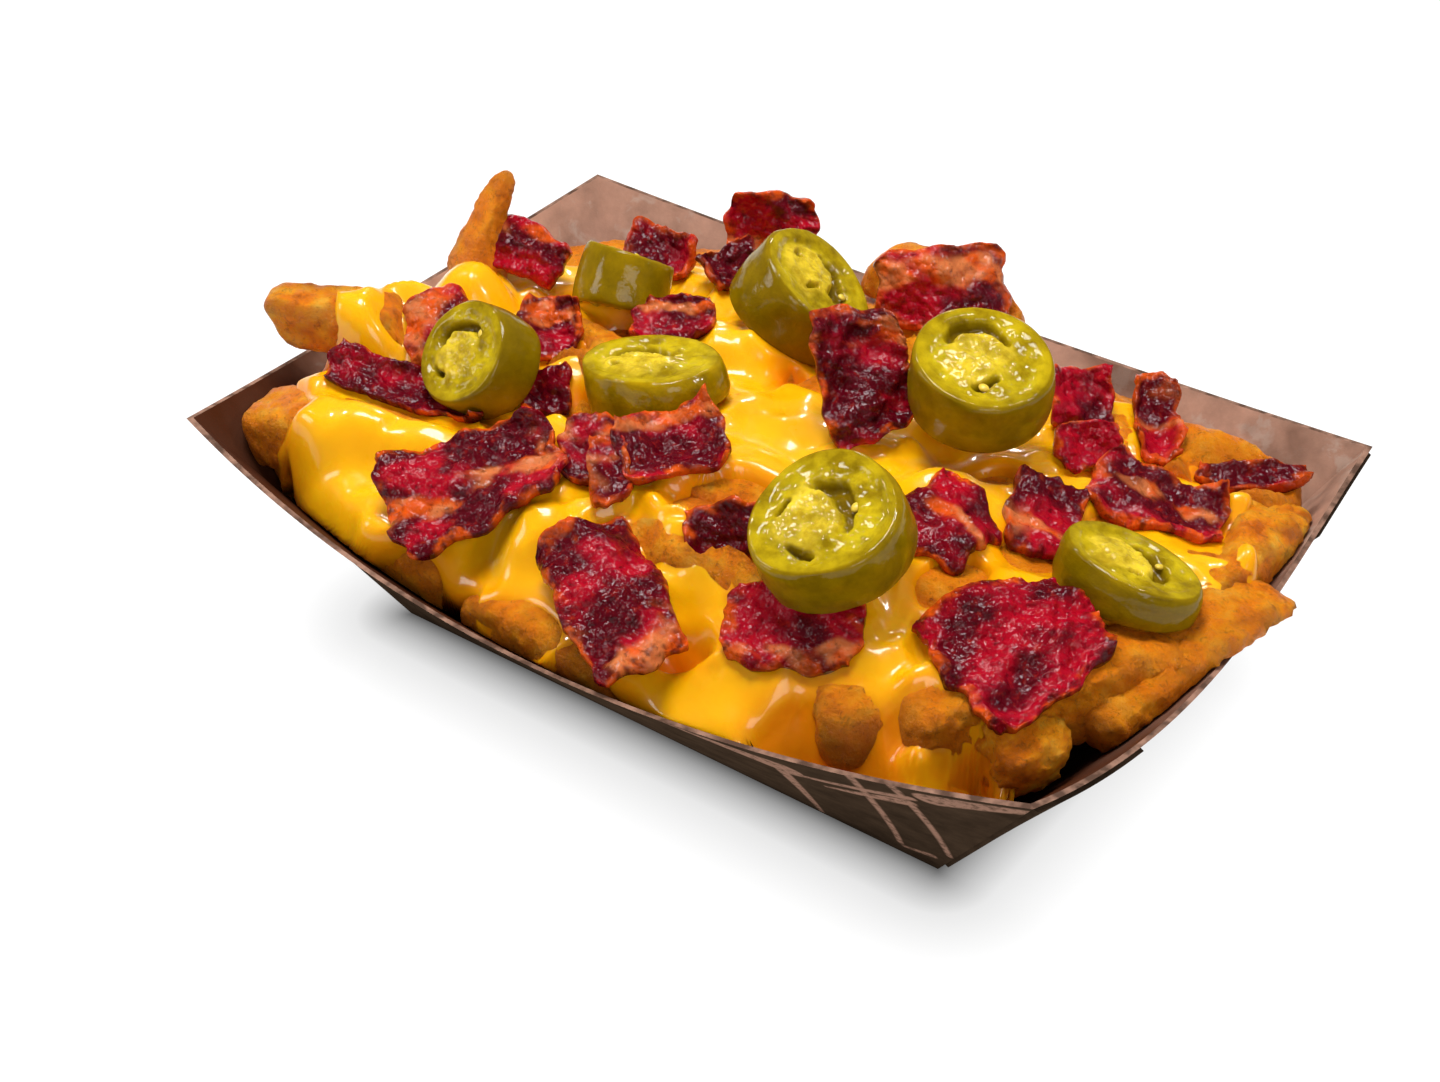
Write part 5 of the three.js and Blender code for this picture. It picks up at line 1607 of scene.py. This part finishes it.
class CHEESEFRIES_OT_fries(bpy.types.Operator):
    """Makes the heap of battered fries"""

    bl_idname = "cheesefries.fries"
    bl_label = "Fries"

    def execute(self, context):
        build_fries(context.scene.fries_heap)
        return {"FINISHED"}


class CHEESEFRIES_OT_cheese(bpy.types.Operator):
    """Pours the cheese sauce"""

    bl_idname = "cheesefries.cheese"
    bl_label = "Cheese sauce"

    def execute(self, context):
        build_cheese(context.scene.fries_cheese)
        return {"FINISHED"}


class CHEESEFRIES_OT_bacon(bpy.types.Operator):
    """Lays the bacon chips"""

    bl_idname = "cheesefries.bacon"
    bl_label = "Bacon chips"

    def execute(self, context):
        for number, chip in enumerate(CHIPS):
            build_chip(context.scene.fries_bacon, chip, number)
        return {"FINISHED"}


class CHEESEFRIES_OT_jalapenos(bpy.types.Operator):
    """Lays the jalapeno slices"""

    bl_idname = "cheesefries.jalapenos"
    bl_label = "Jalapeno slices"

    def execute(self, context):
        for number, one in enumerate(SLICES):
            build_slice(context.scene.fries_jalapeno, one, number)
        return {"FINISHED"}


class CHEESEFRIES_OT_stage(bpy.types.Operator):
    """Sets the camera, floor and lights"""

    bl_idname = "cheesefries.stage"
    bl_label = "Stage"

    def execute(self, context):
        build_stage(context.scene.fries_stage)
        return {"FINISHED"}


class CHEESEFRIES_PT_panel(bpy.types.Panel):
    """Lists the pieces and their settings"""

    bl_label = "Cheese Fries"
    bl_space_type = "VIEW_3D"
    bl_region_type = "UI"
    bl_category = "Cheese Fries"

    def draw(self, context):
        for name, operator in PANEL_ROWS:
            column = self.layout.column()
            group = getattr(context.scene, name)
            for key in group.bl_rna.properties.keys():
                if key not in ("rna_type", "name"):
                    column.prop(group, key)
            column.operator(operator)


GROUPS = {
    "fries_stage": StageSettings,
    "fries_tray": TraySettings,
    "fries_heap": FriesSettings,
    "fries_cheese": CheeseSettings,
    "fries_bacon": BaconSettings,
    "fries_jalapeno": JalapenoSettings,
}
OPERATORS = [
    CHEESEFRIES_OT_stage, CHEESEFRIES_OT_tray, CHEESEFRIES_OT_fries, CHEESEFRIES_OT_cheese,
    CHEESEFRIES_OT_bacon, CHEESEFRIES_OT_jalapenos,
]
PANEL_ROWS = [(name, step.bl_idname) for name, step in zip(GROUPS, OPERATORS)]


def register():
    """Adds the settings, operators and panel."""
    for name, group in GROUPS.items():
        bpy.utils.register_class(group)
        setattr(bpy.types.Scene, name, PointerProperty(type=group))
    for kind in (*OPERATORS, CHEESEFRIES_PT_panel):
        bpy.utils.register_class(kind)


def unregister():
    """Takes the settings, operators and panel away again."""
    for kind in (CHEESEFRIES_PT_panel, *reversed(OPERATORS)):
        bpy.utils.unregister_class(kind)
    for name, group in GROUPS.items():
        delattr(bpy.types.Scene, name)
        bpy.utils.unregister_class(group)


def main():
    """Makes every piece and the stage."""
    register()
    bpy.ops.cheesefries.stage()
    bpy.ops.cheesefries.tray()
    bpy.ops.cheesefries.fries()
    bpy.ops.cheesefries.cheese()
    bpy.ops.cheesefries.bacon()
    bpy.ops.cheesefries.jalapenos()


if __name__ == "__main__":
    main()
